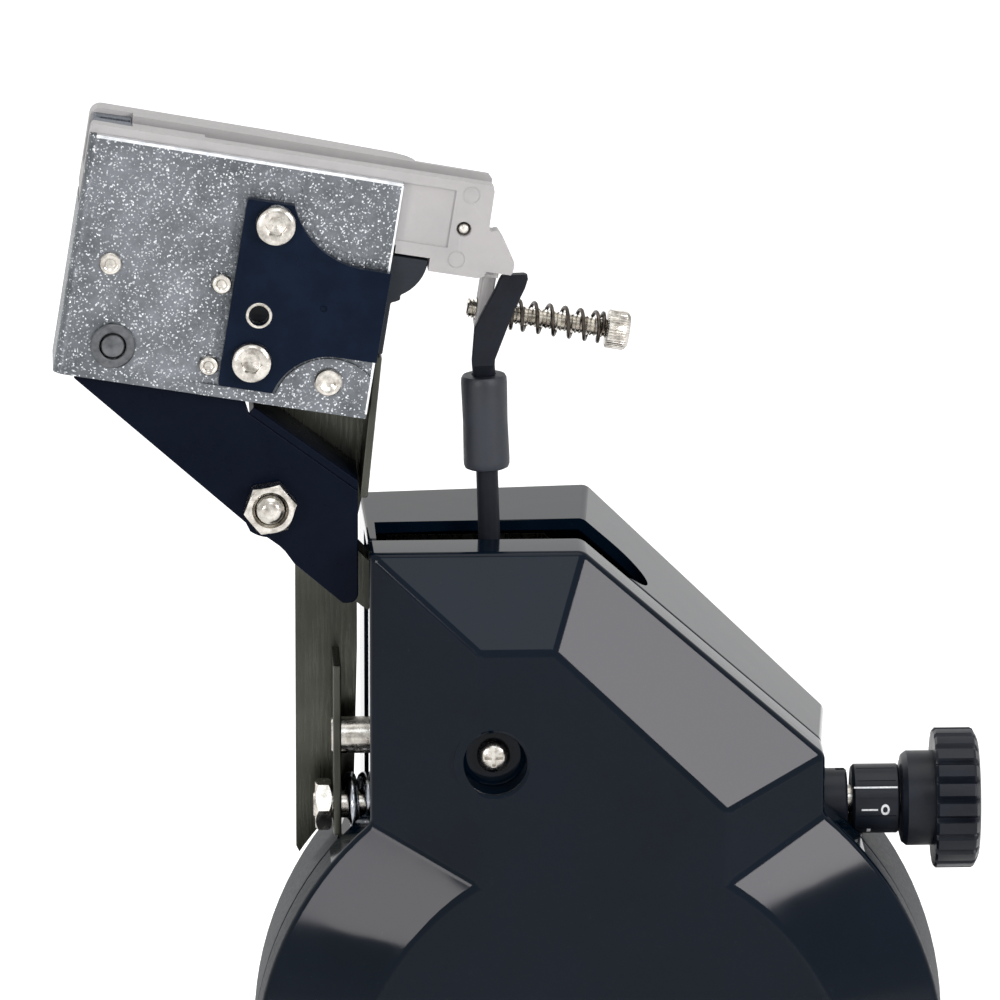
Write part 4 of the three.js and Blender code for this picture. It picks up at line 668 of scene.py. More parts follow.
def hexagon(across, start, end, axis, centre, bore, crown=0.9):
    """A chamfered hexagon nut with its bore, or a bolt's head without one."""
    radius = across / math.sqrt(3)
    blank = bar(radius, start, end, axis, centre, 6)
    wide = radius + 0.3
    dome = [(across / 2, start), (wide, start + crown), (wide, end - crown), (across / 2, end)]
    nut = cut(blank, turned(dome, axis, centre, 48, closed=False), operation="INTERSECT")
    if bore:
        flare = [(bore + 0.5, start - 0.1), (bore, start + 0.5), (bore, end - 0.5), (bore + 0.5, end + 0.1)]
        nut = cut(nut, turned(flare, axis, centre, 32, closed=False))
    return soften(nut, 0.12, 2, 20)


# Housing


def housing_outline(edge, foot):
    """Outline of the housing, anticlockwise from the left end of its round part."""
    centre = edge["centre"]
    radius = edge["radius"]
    left_turn = 180 - math.degrees(math.acos((centre[0] - edge["left"]) / radius))
    right_turn = 360 + math.degrees(math.acos((edge["right"] - centre[0]) / radius))
    foot_x, foot_z = foot
    return [
        *arc(centre, radius, left_turn, 200, WALL_STEPS),
        (-foot_x, foot_z),
        (foot_x, foot_z),
        *arc(centre, radius, 340, right_turn, WALL_STEPS),
        (edge["right"], edge["slope_z"]),
        (edge["slope_x"], edge["top"] + edge["rise"]),
        (edge["left"], edge["top"]),
    ]


def lofted(*sections):
    """A body through outlines at several places along Y."""
    return skin([[(x, y, z) for x, z in outline] for y, outline in sections])


def saddle_holes():
    return [bar(2.8, -72, -58, "Z", (x, -8, 0), 24) for x in (-28, 28)]


def front_shell():
    """Front half: bevelled round a flat face, with the screw's counterbore and the shaft's hole."""
    rim = housing_outline(HOUSING_RIM, HOUSING_FOOT)
    face = housing_outline(HOUSING_FACE, FACE_FOOT)
    outer = lofted((FACE_Y, face), (RIM_Y, rim), (SEAM_Y, rim))
    outer = soften(outer, EDGE_ROUND, 4, 7)
    hollow = lofted(
        (FACE_Y + SHELL_WALL, inset(face, SHELL_WALL)),
        (RIM_Y + SHELL_WALL / 2, inset(rim, SHELL_WALL)),
        (SEAM_Y + 1, inset(rim, SHELL_WALL)),
    )
    floor = FACE_Y + COUNTERBORE_DEPTH
    boss = peg(COUNTERBORE_RADIUS + 2, FACE_Y + 1.5, floor + SHELL_WALL, SHELL_SCREW)
    wide = COUNTERBORE_RADIUS
    bore = [(wide + 1.6, FACE_Y - 0.6), (wide + 0.8, FACE_Y + 0.1), (wide + 0.25, FACE_Y + 0.45),
            (wide, FACE_Y + 1.1), (wide - 0.25, floor - 0.6), (wide - 0.9, floor), (2.3, floor),
            (2.3, floor + 8)]
    wide = SHAFT_HOLE_RADIUS
    shaft = [(wide + 1.4, FACE_Y - 0.5), (wide + 0.4, FACE_Y + 0.3), (wide, FACE_Y + 1.2),
             (wide, FACE_Y + 8)]
    form = joined(cut(outer, hollow), boss)
    return cut(form, spun(bore, SHELL_SCREW, 64, closed=False), spun(shaft, AXIS, 64, closed=False))


def slot_outline():
    """The lever's slot from above, with its right end round."""
    near, far = SEAM_Y, -1
    middle = (near + far) / 2
    half = (far - near) / 2
    end = [(11 - half + x, middle + y) for x, y in arc((0, 0), half, -90, 90, 16)]
    return [(-47.5, near - 1), (11 - half, near - 1), *end[1:], (-47.5, far)]


def rear_shell():
    """Rear half, with the lever's slot, the tail's window, the chain's slot and room for the knob."""
    rim = housing_outline(HOUSING_RIM, HOUSING_FOOT)
    back = housing_outline(HOUSING_BACK, HOUSING_FOOT)
    start = SEAM_Y + GAP
    outer = lofted((start, rim), (BACK_Y - BACK_BEVEL, back), (BACK_Y, inset(back, BACK_BEVEL)))
    outer = soften(outer, 0.9, 3, 9)
    hollow = lofted(
        (start - 1, inset(rim, SHELL_WALL)),
        (BACK_Y - SHELL_WALL, inset(back, SHELL_WALL)),
    )
    lever_slot = level_prism(slot_outline(), 99, 126)
    tail_window = box(-58, -46.5, start - 1, 3.4, 58.4, 122.4)
    chain_slot = box(-32, 32, 12.5, 18.6, -67, -62.5)
    return cut(
        outer,
        hollow,
        lever_slot,
        tail_window,
        chain_slot,
        bar(SLEEVE_RADIUS + GAP, 44.6, COLLAR_X[0], *ROUND_ROD),
        bar(BARREL_RADIUS + GAP, BARREL_X[0] - GAP, COLLAR_X[0], *ROUND_ROD),
        bar(COLLAR_RADIUS + GAP, COLLAR_X[0] - GAP, 80, *ROUND_ROD),
        *saddle_holes(),
    )


def shell_screw():
    x, z = SHELL_SCREW
    floor = FACE_Y + COUNTERBORE_DEPTH - GAP
    head = [(3.5, floor), (3.5, floor - 1), (3.1, floor - 1.7), (2.2, floor - 2.2), (0.4, floor - 2.4)]
    dome = spun(head[::-1], SHELL_SCREW, 48, closed=False)
    cross = [box(x - a, x + a, floor - 3, floor - 1, z - b, z + b) for a, b in ((2, 0.4), (0.4, 2))]
    shank = thread(2, 0.9, floor, floor + 7.7, *along_y(SHELL_SCREW))
    return merged(cut(dome, *cross), shank)


def satin_sides(shell):
    """The round side walls, below the knob, in the satin finish."""
    mesh = shell.data
    mesh.materials.append(ABS_SIDE)
    top = (CRANK.z + SATIN_TOP_Z) * MM
    for face in mesh.polygons:
        if abs(face.normal.y) < SATIN_LEAN and face.center.z < top:
            face.material_index = 1


for shell_name, shell_form in (("front_shell", front_shell()), ("rear_shell", rear_shell())):
    satin_sides(piece(shell_name, shell_form, "head", ABS, [shell_name], smooth=24))
piece("shell_screw", shell_screw(), "head", NICKEL, ["shell_screw"])


# Gripper


def disc_tool(lobe, near, far, extra=0.0):
    u, w, radius = lobe
    return peg(radius + extra, near, far, (u, w), 96)


def pin_holes(near, far):
    """The tools for the holes of the stud and the rivets, whose heads' sizes aren't needed."""
    holes = [peg(STUD_HOLE, near, far, STUD, 32)]
    return holes + [peg(RIVET_HOLE, near, far, (u, w), 24) for u, w, _ in RIVETS.values()]


def gripper_bracket():
    """Sheet bent round its left edge, with an embossed recess and a rolled lip along its foot."""
    left = BRACKET_LEFT
    length, height = BRACKET
    near, far = BRACKET_Y
    thick = far - near
    bend = 2.3
    centre_u = left + bend
    outer = arc((centre_u, near + bend), bend, 270, 180, 6)
    inner = arc((centre_u, near + bend), bend - thick, 180, 270, 6)
    section = [(length, near), *outer, (left, BEFORE_SPINE_Y), (left + thick, BEFORE_SPINE_Y), *inner,
               (length, far)]
    over = [(-1, height), (length + 1, height - BRACKET_DROP), (length + 1, height + 1), (-1, height + 1)]
    slope = prism(over, near - 1, 2)
    sheet = soften(cut(level_prism(section[::-1], 0, height), slope), 0.25, 2, 40)
    flange_top = box(-1, left + thick + 0.4, far + 0.6, 2, 36.5, height + 1)
    recess = level_prism([
        (RECESS_U[0], near - 1),
        (RECESS_U[0], near + 0.02),
        (RECESS_U[0] + 0.8, near + 0.06),
        (RECESS_U[1] - 0.8, near + RECESS_DEPTH - 0.06),
        (RECESS_U[1], near + RECESS_DEPTH),
        (length + 1, near + RECESS_DEPTH),
        (length + 1, near - 1),
    ], *RECESS_W)
    steps = [disc_tool(lobe, near - 2, far) for lobe in (UPPER_LOBE, LOWER_LOBE)]
    holes = [peg(M5_HOLE, near - 1, far + 2, place, 32) for place in CAM_SCREWS.values()]
    holes.append(peg(CAM_HOLE[2], near - 1, far + 2, CAM_HOLE, 32))
    form = cut(sheet, flange_top, cut(recess, *steps), *holes, *pin_holes(near - 1, far + 2))
    lip = soften(box(left + 0.4, length - 0.2, far - 0.2, far + 1.1, 0.05, 1.75), 0.5, 3)
    return merged(form, lip)


def edge_highlight_strips():
    """Strips painted near white as the highlight on the sheet's edges, along its top and down its right
    side.
    """
    length, height = BRACKET
    near, far = BRACKET_Y
    left = BRACKET_LEFT
    drop = BRACKET_DROP
    top = prism([(left + 1.4, height - 0.75), (length - 0.1, height - drop - 0.75),
                 (length - 0.1, height - drop + 0.02), (left + 1.4, height + 0.02)], near - 0.03, far + 0.02)
    right = prism([(length - 0.55, 1), (length + 0.03, 1), (length + 0.03, height - drop - 0.4),
                   (length - 0.55, height - drop - 0.4)], near - 0.03, far)
    return merged(soften(top, 0.2, 2, 40), soften(right, 0.2, 2, 40))


def ring_mark(centre, y):
    """A faint raised punch ring on a plate."""
    radius, height, width = 2.7, 0.06, 0.22
    return spun([(radius - width, y), (radius, y - height), (radius + width, y)], centre)


def cam_plate():
    near, far = CAM_Y
    (u0, u1), (w0, w1) = CAM_U, CAM_W
    plate = rounded([(u0, w0), (u1, w0), (u1, w1), (u0, w1)], 0.8, 4)
    upper = UPPER_LOBE[2] + UPPER_CUT
    lower = LOWER_LOBE[2] + LOWER_CUT
    tools = [
        disc_tool(UPPER_LOBE, near - 1, far + 1, UPPER_CUT),
        disc_tool(LOWER_LOBE, near - 1, far + 1, LOWER_CUT),
        box(LOWER_LOBE[0], u1 + 1, near - 1, far + 1, LOWER_LOBE[1], LOWER_LOBE[1] + lower),
        box(UPPER_LOBE[0], u1 + 1, near - 1, far + 1, UPPER_LOBE[1] - upper, w1 + 1),
        peg(CAM_HOLE[2], near - 1, far + 1, CAM_HOLE, 32),
        spun([(0.9, near - 0.2), (0.5, near + 0.5)], (55.2, 22.9), 24, closed=False),
    ]
    tools += [peg(M5_HOLE, near - 1, far + 1, place, 32) for place in CAM_SCREWS.values()]
    form = soften(cut(prism(plate, near, far), *tools), 0.3, 3, 30)
    return merged(form, *[ring_mark(place, near) for place in ((46.2, 31.4), (43.8, 14.3))])


def hole_rim():
    """Bare punched rim round the plate's open hole."""
    near = CAM_Y[0]
    radius = CAM_HOLE[2]
    profile = [(radius, near + 0.6), (radius, near - 0.02), (radius + 0.15, near - 0.12),
               (radius + 0.5, near - 0.1), (radius + 0.62, near + 0.02), (radius + 0.5, near + 0.1)]
    return spun(profile, CAM_HOLE, 48)


def cap_screw(centre):
    """Low-head cap screw with a hexagon socket and a raised washer face under its head."""
    far = CAM_Y[0] - GAP
    near = far - 2.8
    profile = [(0.5, near), (3.0, near), (3.6, near + 0.1), (4.1, near + 0.45), (4.25, near + 1.0),
               (4.25, far)]
    head = cut(spun(profile, centre, 64, closed=False), hex_socket(4, 1.6, near, centre))
    washer_face = spun([(2.4, far - 0.1), (3.9, far - 0.1), (3.9, far + 0.14), (2.4, far + 0.14)], centre)
    shank = thread(2.4, 0.8, far, far + 8.8, *along_y(centre))
    return merged(soften(head, 0.12, 2, 40), washer_face, shank)


def rivet(centre, head):
    """Tubular rivet: a rolled rim round a small hollow, and its shank through both plates."""
    far = BRACKET_Y[0] - GAP
    near = far - 0.75
    rim = [
        (0.3, near + 0.62), (head * 0.42, near + 0.45), (head * 0.55, near + 0.12), (head * 0.72, near),
        (head * 0.9, near + 0.1), (head, near + 0.42), (head, far),
    ]
    cap = spun(rim, centre, 48, closed=False)
    shank = peg(1.5, far - 0.1, 3.75, centre, 24, 0.35)
    return merged(cap, shank)


def cross_stud():
    """Riveted stud: a flat end in a raised collar with a dark joint round it."""
    far = BRACKET_Y[0] - GAP
    near = far - 0.8
    collar = [(2.9, far), (2.9, near + 0.2), (3.15, near), (4.5, near), (4.8, near + 0.25), (4.8, far)]
    core = [(0.4, near + 0.12), (1.9, near + 0.12), (2.3, near + 0.2), (2.55, near + 0.45), (2.6, far)]
    shank = peg(2.6, far - 0.1, 3.75, STUD, 32, 0.4)
    return merged(spun(collar, STUD, 56), spun(core, STUD, 56, closed=False), shank)


def casting_top(u):
    """Height of the rear rail, which falls a little to the right."""
    return 55.3 - 1.2 * (u - 0.5) / 86.7


def front_top(u):
    """Height of the front rail, which is cut a little lower."""
    return 54.4 - 0.6 * (u + 0.5) / 88.7


def casting_rails():
    """The two rails as one bar, with rounded left corners and the rear one cut slanting at its right end."""
    far, end = BEFORE_SPINE_Y, RAIL_END_U
    outline = [(0.5, 38), (end, 38), (end, casting_top(end)), *arc((2.8, 53), 2.3, 90, 180, 6)]
    slant = [(40, far), (66, -1.2), (68.6, -2.6), (69.9, -4.4), (end, -6.2), (end + 1, -6.2), (end + 1, 2),
             (40, 2)]
    return cut(prism(outline, CASTING_Y, far), level_prism(slant, 37, 57))


def casting_body():
    """The right body: a front wall and a thin rear wall beside the groove, on a thick lower part."""
    left, step = 68.5, 76.1
    front_wall = prism([
        (left, 36.3), (step, 36.3), (step, 33.5), (86.8, 33.5), (88, 34), (88.4, 35.2), (93.6, 35.2),
        (94, 35.8), (94.1, 37.5), (92.4, 40.2), (90.7, 42.8), (89.4, 44.3), (88.9, 44.3), (88.3, 44),
        (87.9, 44), (87.6, 44.4), (87.5, 45.2), *arc((85.9, 52.4), 1.5, 0, 90, 5), (left, front_top(left)),
    ], CASTING_Y, -13.7)
    rear_wall = prism([
        (left, 36.3), (step, 36.3), (87.2, 44), (87.2, 53), (86.2, casting_top(87)),
        (left, casting_top(left)),
    ], -7.4, -6.2)
    lower = prism([
        (left, 36.3), (step, 36.3), (step, 33.5), (91.3, 33.5), (91.3, 38.5), (85, 44), (left, 44),
    ], -14.7, -1)
    floor = prism([(left, 36.3), (step, 36.3), (87.2, 38.5), (87.2, 44), (left, 44)], -14.7, -6.4)
    leg = soften(box(88.4, 91.3, -10, -1, 20.5, 34.5), 0.45, 3, 35)
    return joined(front_wall, rear_wall, lower, floor, leg)


def jaw_casting():
    """Die casting: two long rails with the string groove between them, a right body and its leg."""
    near = CASTING_Y
    low, high = -0.5, 88.2
    groove = [(low, -11.2), (25, -11.2), (25, -13.7), (high, -13.7), (high, -7.4), (low, -7.4)]
    over_front = [(low, front_top(low)), (high, front_top(high)), (high, 57), (low, 57)]
    wedges = []
    for end, top in ((33, 49.5), (9.5, 57)):
        half, end_half = (JAW_HALF + u * math.tan(JAW_ANGLE) for u in (low, end))
        wedge = [(low, JAW_Y - half), (end, JAW_Y - end_half), (end, JAW_Y + end_half), (low, JAW_Y + half)]
        wedges.append(level_prism(wedge, 44, top))
    front_recess = box(60, 79.4, near - 1, near + 0.5, 39.1, 51.7)
    mark = [(1.9, near - 0.1), (1.9, near + 0.12), (1.6, near + 0.12), (1.6, near - 0.1)]
    marks = [spun(mark, place, 40) for place in ((82.6, 51.2), (81.6, 36.9))]
    pin_hole = [(1.75, near - 0.1), (1.5, near + 0.4), (1.5, near + 3.5)]
    return soften(cut(
        joined(casting_rails(), casting_body()),
        prism(over_front, near - 1, JAW_Y),
        level_prism(groove, 44, 57),
        *wedges,
        front_recess,
        *marks,
        spun(pin_hole, CASTING_PIN, 32, closed=False),
        peg(M5_HOLE, near - 1, -9.5, CAM_SCREWS["cam_screw_upper"], 32),
        bar(2.45, 86, 93, *ROUND_TRIP, 32),
    ), 0.4, 3, 35)


def casting_pin():
    """Knock-in pin: a slightly domed end below the casting's face."""
    near = -17.4
    profile = [(0.3, near - 0.1), (0.7, near), (1.1, near + 0.3), (1.2, near + 0.7), (1.2, near + 2.9)]
    return spun(profile, CASTING_PIN, 32, closed=False)


def guide_block():
    """Black block between the bracket and the spine, whose lug shows to the right of the bracket."""
    outline = [
        (37, 4), (46.5, 4), (46.5, 14), (69.4, 14), (69.4, 25.4), (70.4, 25.8), (71.3, 26.3),
        *arc((66.5, 35.4), 9.3, -60, 2, 8), (68, 35.7), (68, 37.7), (37, 37.7),
    ]
    form = prism(outline, BRACKET_Y[1] + GAP, BEFORE_SPINE_Y)
    arm_room = box(36, 47.5, -16.8, -14.2, -1, 14)
    holes = [peg(M5_HOLE, -19, 2, place, 32) for place in CAM_SCREWS.values()]
    return soften(cut(form, arm_room, *holes), 0.4, 3, 30)


def string_jaw(side):
    """Hardened jaw with a fine-grooved gripping face and a chamfered mouth."""

    def back(u):
        return JAW_Y + side * (JAW_HALF - GAP + u * math.tan(JAW_ANGLE))

    def outline(last):
        face = JAW_Y + side * 1.1
        points = [(1.2, JAW_Y + side * 1.6), (1.9, face), (last, face), (last, back(last)), (1.2, back(1.2))]
        return points if side > 0 else points[::-1]

    form = joined(level_prism(outline(25.2), 44.3, 49.2), level_prism(outline(9.2), 48.9, 54.3))
    grip = JAW_Y + side
    places = [2.6 + i * 0.55 for i in range(12)]
    lines = [box(u, u + 0.16, grip - 0.3, grip + 0.3, 49.8, 54.8) for u in places]
    return soften(cut(form, *lines), 0.12, 2, 40)


def trip_screw():
    """Cap screw with a knurled head; its thread shows between the spring's turns."""
    start, end = TRIP_HEAD_U
    profile = ((start, -0.5, 0), (start + 0.35, -0.05, 1), (end - 1.0, -0.05, 1), (end - 0.45, -0.35, 1),
               (end, -0.95, 0))
    head = ridged(profile, 4.2, 160, ROUND_TRIP[1], lambda i, share: 0.16 * share if i % 4 < 2 else 0)
    socket = turned([(4 / math.sqrt(3), end + 1), (4 / math.sqrt(3), end - 2.5), (0.4, end - 2.9)],
                    *ROUND_TRIP, 6, closed=False)
    shank = thread(2.15, 0.8, 86.4, start + 0.2, *ROUND_TRIP, 24)
    tip = bar(1.75, 86.4, 87.1, *ROUND_TRIP, 24, 0.3)
    return merged(cut(head, socket), shank, tip)


def trip_spring():
    return coil(3.1, 0.85, 7.5, 95.25, TRIP_HEAD_U[0] - GAP, ROUND_TRIP[1], 28, 8)


def gripper_piece(name, form, material, body="rocker", nodes=None):
    return piece(name, form, body, material, nodes or [name], from_gripper)


gripper_piece("gripper_bracket", gripper_bracket(), SPANGLE_GLINTS)
# The bracket's edge highlight, painted on as near-white strips
gripper_piece("gripper_bracket_edge_highlights", edge_highlight_strips(), EDGE_HIGHLIGHT, nodes=["gripper_bracket"])
gripper_piece("cam_plate", cam_plate(), CAM_PAINT)
gripper_piece("cam_plate_hole_rim", hole_rim(), NICKEL, nodes=["cam_plate"])
for screw, centre in CAM_SCREWS.items():
    gripper_piece(screw, cap_screw(centre), NICKEL)
for name, (u, w, head) in RIVETS.items():
    gripper_piece(name, rivet((u, w), head), NICKEL)
gripper_piece("cross_stud", cross_stud(), DARK)
gripper_piece("jaw_casting", jaw_casting(), CASTING)
gripper_piece("casting_pin", casting_pin(), NICKEL)
gripper_piece("guide_block", guide_block(), ACETAL)
gripper_piece("front_jaw", string_jaw(-1), JAW, "front_jaw")
gripper_piece("rear_jaw", string_jaw(1), JAW, "rear_jaw")
gripper_piece("trip_screw", trip_screw(), NICKEL, "trip_screw")
gripper_piece("trip_spring", trip_spring(), SPRING)


# Rocker, pivot and lever


def rocker_arm():
    """Black sheet arm with a rounded lower tip and a flange bent back along its upper edge."""
    near, far = ARM_Y
    outline = [
        (-111.8, 161.1), (-75.4, 129), (-74.6, 127.4), *arc(PIVOT, 7.3, -126, -95, 4), (-68.2, 123.8),
        (-67, 122.6), (-65, 119.8), (-54.8, 111.1), *arc((-53.4, 113.1), 2, -90, 0, 5),
        ARM_CORNER, ARM_HEAD,
        tuple(from_gripper((35.4, 0, 12.6)).xz), tuple(from_gripper((3.3, 0, 12.6)).xz),
    ]
    plate = soften(prism(outline, near, far), 0.3, 3, 40)
    corner, head = Vector(ARM_CORNER), Vector(ARM_HEAD)
    along = (head - corner).normalized()
    across = Vector((along.y, -along.x)) * ARM_FLANGE
    flange_outline = [tuple(p) for p in (corner, head, head + across, corner + across)]
    flange = soften(prism(flange_outline, near + 0.02, BEFORE_SPINE_Y), 0.3, 3, 40)
    form = joined(plate, flange)
    trim = box(ARM_CORNER[0], -40, near - 1, 1, 105, 165)
    holes = [placed(hole, from_gripper) for hole in pin_holes(near - 1, far + 1)]
    holes.append(placed(peg(M5_HOLE, near - 1, far + 1, CAM_SCREWS["cam_screw_lower"], 32), from_gripper))
    return cut(form, trim, peg(M6_HOLE, near - 1, far + 1, PIVOT, 32), *holes)


def placed(form, place):
    for vert in form.verts:
        vert.co = place(vert.co)
    return form


def rocker_spine():
    """Rear plate of the rocker: head, lobe round the pivot, tail, and the two cross webs."""
    near, far = SPINE_Y
    head = placed(prism([(3, 0), (70, 0), (70, 49), (3, 49)], near, far), from_gripper)
    web_head = from_gripper((69.6, 0, 13)).xz
    left = from_gripper((35, 0, 13)).xz
    tail = prism([
        (-64.5, 52.5), (-63.6, 50.7), (-62, 50), (-52.4, 50), (-51.2, 97), (-51.2, 125), (-49.3, 134),
        tuple(web_head), tuple(left), (-64.5, 134)], near, far)
    shoulder = peg(77, near - 1, far + 1, (-0.4, 7.5), 160)
    lobe = peg(8.4, near, far, PIVOT, 64)
    web = soften(box(-56.8, -55.1, -15.6, far - 0.1, 59.3, 97), 0.4, 2)
    upper = [(-51, 134), (-49.3, 134), tuple(web_head), (web_head.x - 1.7, web_head.y)]
    upper = prism(upper, -15.6, far - 0.1)
    form = joined(head, cut(tail, shoulder), lobe, web, soften(upper, 0.4, 2))
    holes = [placed(hole, from_gripper) for hole in pin_holes(near - 1, far + 1)]
    return cut(
        form,
        bar(3.75, -58, -54, "X", (0, MID_Y, ROD_Z - 0.35), 32),
        bar(4.3, -58, -54, "X", (0, MID_Y, STOP_Z), 32),
        peg(M6_HOLE, near - 1, far + 1, PIVOT, 32),
        *holes,
    )


def pivot_bolt():
    head = hexagon(10, 3.3, 7.3, *along_y(PIVOT), 0)
    shank = peg(3, -20.5, 3.6, PIVOT, 32)
    tip = [(0.4, -23.3), (1.7, -23.25), (2.3, -22.9), (2.9, -22.2), (2.95, -20.4)]
    ridges = thread(3, 1, -22.6, -15.5, *along_y(PIVOT), 28)
    return merged(head, shank, spun(tip, PIVOT, 40, closed=False), ridges)


def pivot_nut():
    """Chamfered nut, turned a little on its bolt, with a dished face round the bore."""
    x, z = PIVOT
    nut = hexagon(10, -21.8, -16.8, *along_y((0, 0)), 3.35)
    dish = spun([(4.1, -22.2), (3.9, -21.75), (3.2, -21.1), (3.2, -22.2)], (0, 0))
    turn = Matrix.Translation((x, 0, z)) @ Matrix.Rotation(math.radians(-10), 4, "Y")
    return placed(cut(nut, dish), lambda co: turn @ co)


def stop_screw():
    """Ground stop pin: bright, smooth and lightly chamfered at both ends."""
    return bar(4, -57.1, -48.5, "X", (0, MID_Y, STOP_Z), 64, 0.4)


def lever_section(width, depth, y, corner, z, lean=0.0):
    """One rounded cross-section of the lever at a height, as a ring of points."""
    ring = []
    for sx, sy, start in ((1, -1, -90), (1, 1, 0), (-1, 1, 90), (-1, -1, 180)):
        centre = (sx * (width / 2 - corner), sy * (depth / 2 - corner))
        ring += [(lean + a, y + b, z) for a, b in arc(centre, corner, start, start + 90, 6)]
    return ring


def brake_lever():
    """Round rod flattened into a bent blade, with a slotted trip tab behind it, a hub and the shoe's arm."""
    rod = LEVER_ROD
    sections = [
        lever_section(2 * rod, 2 * rod, MID_Y, rod - 0.02, 4),
        lever_section(2 * rod, 2 * rod, MID_Y, rod - 0.02, 64),
        lever_section(4.8, 4.6, MID_Y - 0.2, 2.0, 66.5),
        lever_section(4.9, 3.6, MID_Y - 1.9, 1.5, 68.6),
        lever_section(4.9, 2.5, BLADE_Y, 0.6, 70.4, -0.15),
    ]
    # The blade widens and bends to the right as it goes up
    for width, depth, z, lean in (
        (5.0, 2.5, 71.6, -0.1), (7.2, 2.5, 78.8, 1.8), (6.7, 2.5, 82.6, 3.7), (6.4, 2.5, 86.9, 6.1),
        (6.2, 2.5, 88.9, 6.9), (5.6, 2.4, 89.7, 7.1), (4.4, 2.1, 90.0, 7.2),
    ):
        sections.append(lever_section(width, depth, BLADE_Y, 0.5, z, lean))
    upper = placed(skin(sections), from_lever)
    tab = skin([[(x, y, z) for x, z in ((3.3, 75.3), (3.9, 75.3), (5.2, 78), (5.2, 83), (3.3, 83))]
                for y in (-12.2, -1.5)])
    slot = box(2, 7, TRIP_Y - 2.9, TRIP_Y + 2.9, 76.8, 86)
    tab = placed(soften(cut(tab, slot), 0.25, 2, 40), from_lever)
    x, z = LEVER
    hub = peg(7, -12, 12, LEVER, 48, 0.5)
    inner, outer = SHOE_RADII
    near, far = SHOE_Y
    middle = math.radians(sum(SHOE_TURN) / 2)
    foot_x, foot_z = inner * math.cos(middle), inner * math.sin(middle)
    half = 4.5
    arm = [(x - half, z), (foot_x - half, foot_z - half), (foot_x + half, foot_z + half), (x + half, z)]
    arm = cut(prism(arm, near, far), peg(outer + GAP, near - 1, far + 1, AXIS, 96))
    lower = cut(joined(hub, arm), peg(2.8, -13, 13, LEVER, 32))
    return merged(upper, tab, lower)


def lever_sleeve():
    low, high, radius = 46.8, 67.4, 4.95
    profile = [(2.65, low), (4.1, low), (4.65, low + 0.25), (4.9, low + 0.9), (radius, low + 2), (4.8, 57),
               (radius, high - 2), (4.88, high - 0.8), (4.55, high - 0.2), (3.9, high), (2.65, high)]
    return placed(turned(profile, "Z", (0, MID_Y, 0), 56), from_lever)


def brake_shoe():
    """Lined shoe: a curved block with rounded ends."""
    (inner, outer), (start, end) = SHOE_RADII, SHOE_TURN
    points = arc(AXIS, inner, end, start, 20) + arc(AXIS, outer, start, end, 20)
    return soften(prism(points, *SHOE_Y), 0.4, 2, 30)


def whole_piece(name, form, body, material, smooth=32):
    return piece(name, form, body, material, [name], smooth=smooth)


whole_piece("rocker_arm", rocker_arm(), "rocker", ARM_PAINT)
whole_piece("rocker_spine", rocker_spine(), "rocker", PLATE)
whole_piece("pivot_bolt", pivot_bolt(), "head", NICKEL)
whole_piece("pivot_nut", pivot_nut(), "head", NICKEL)
whole_piece("stop_screw", stop_screw(), "rocker", NICKEL)
whole_piece("brake_lever", brake_lever(), "lever", LEVER_PAINT, 40)
whole_piece("lever_sleeve", lever_sleeve(), "lever", RUBBER)
whole_piece("brake_shoe", brake_shoe(), "lever", ACETAL)


# Knob, scale and tension rod


def index_sleeve():
    start, end = SLEEVE_X
    radius = SLEEVE_RADIUS
    profile = [(M6_HOLE, start), (radius - 0.3, start), (radius, start + 0.3), (radius, end - 0.5),
               (radius - 0.45, end), (M6_HOLE, end)]
    form = turned(profile, *ROUND_ROD, 64)
    notch = box(end - 2.4, end + 1, MID_Y - 0.7, MID_Y + 0.7, ROD_Z + radius - 0.8, ROD_Z + radius + 1)
    return cut(form, notch)


def scale_barrel():
    start, end = BARREL_X
    radius = BARREL_RADIUS
    profile = [(M6_HOLE, start), (radius - 0.6, start), (radius, start + 0.6), (radius, end - 0.4),
               (radius - 0.4, end), (M6_HOLE, end)]
    return cut(turned(profile, *ROUND_ROD, 72), *[scale_groove(k) for k in range(12)])


def scale_groove(step):
    """A thin scored line along the barrel between two marks."""
    turn = math.radians(15 + 30 * step)
    radius = BARREL_RADIUS
    place = Matrix.Translation(ROUND_ROD[1]) @ Matrix.Rotation(turn, 4, "X")
    groove = box(BARREL_X[0] + 1, BARREL_X[1] - 0.8, -0.12, 0.12, radius - 0.15, radius + 0.5)
    return placed(groove, lambda co: place @ co)


def on_barrel(x, turn, out):
    """A point over or under the barrel's skin, at an angle from its front."""
    radius = BARREL_RADIUS + out
    return x, MID_Y - radius * math.cos(turn), ROD_Z + radius * math.sin(turn)


def ink_patch(low_x, high_x, low_turn, high_turn):
    """A thin printed patch on the barrel between two places and two angles in degrees."""
    turns = [math.radians(low_turn + (high_turn - low_turn) * i / 4) for i in range(5)]
    rings = []
    for x in (low_x, high_x):
        over = [on_barrel(x, t, INK_TOP) for t in turns]
        under = [on_barrel(x, t, INK_FOOT) for t in turns[::-1]]
        rings.append(over + under)
    return skin(rings)


def ink_ring(centre_x, centre_turn, half_x, half_turn, stroke):
    """A printed nought, as a band of small patches."""
    form = bmesh.new()
    steps = 20
    rows = []
    for i in range(steps):
        angle = 2 * math.pi * i / steps
        row = []
        for grow in (1, 1 - stroke):
            x = centre_x + half_x * grow * math.cos(angle)
            t = math.radians(centre_turn + half_turn * grow * math.sin(angle))
            row += [form.verts.new(on_barrel(x, t, out)) for out in (INK_TOP, INK_FOOT)]
        rows.append(row)
    for i in range(steps):
        low, high = rows[i], rows[(i + 1) % steps]
        for a, b in ((0, 1), (1, 3), (3, 2), (2, 0)):
            form.faces.new((low[a], high[a], high[b], low[b]))
    return form


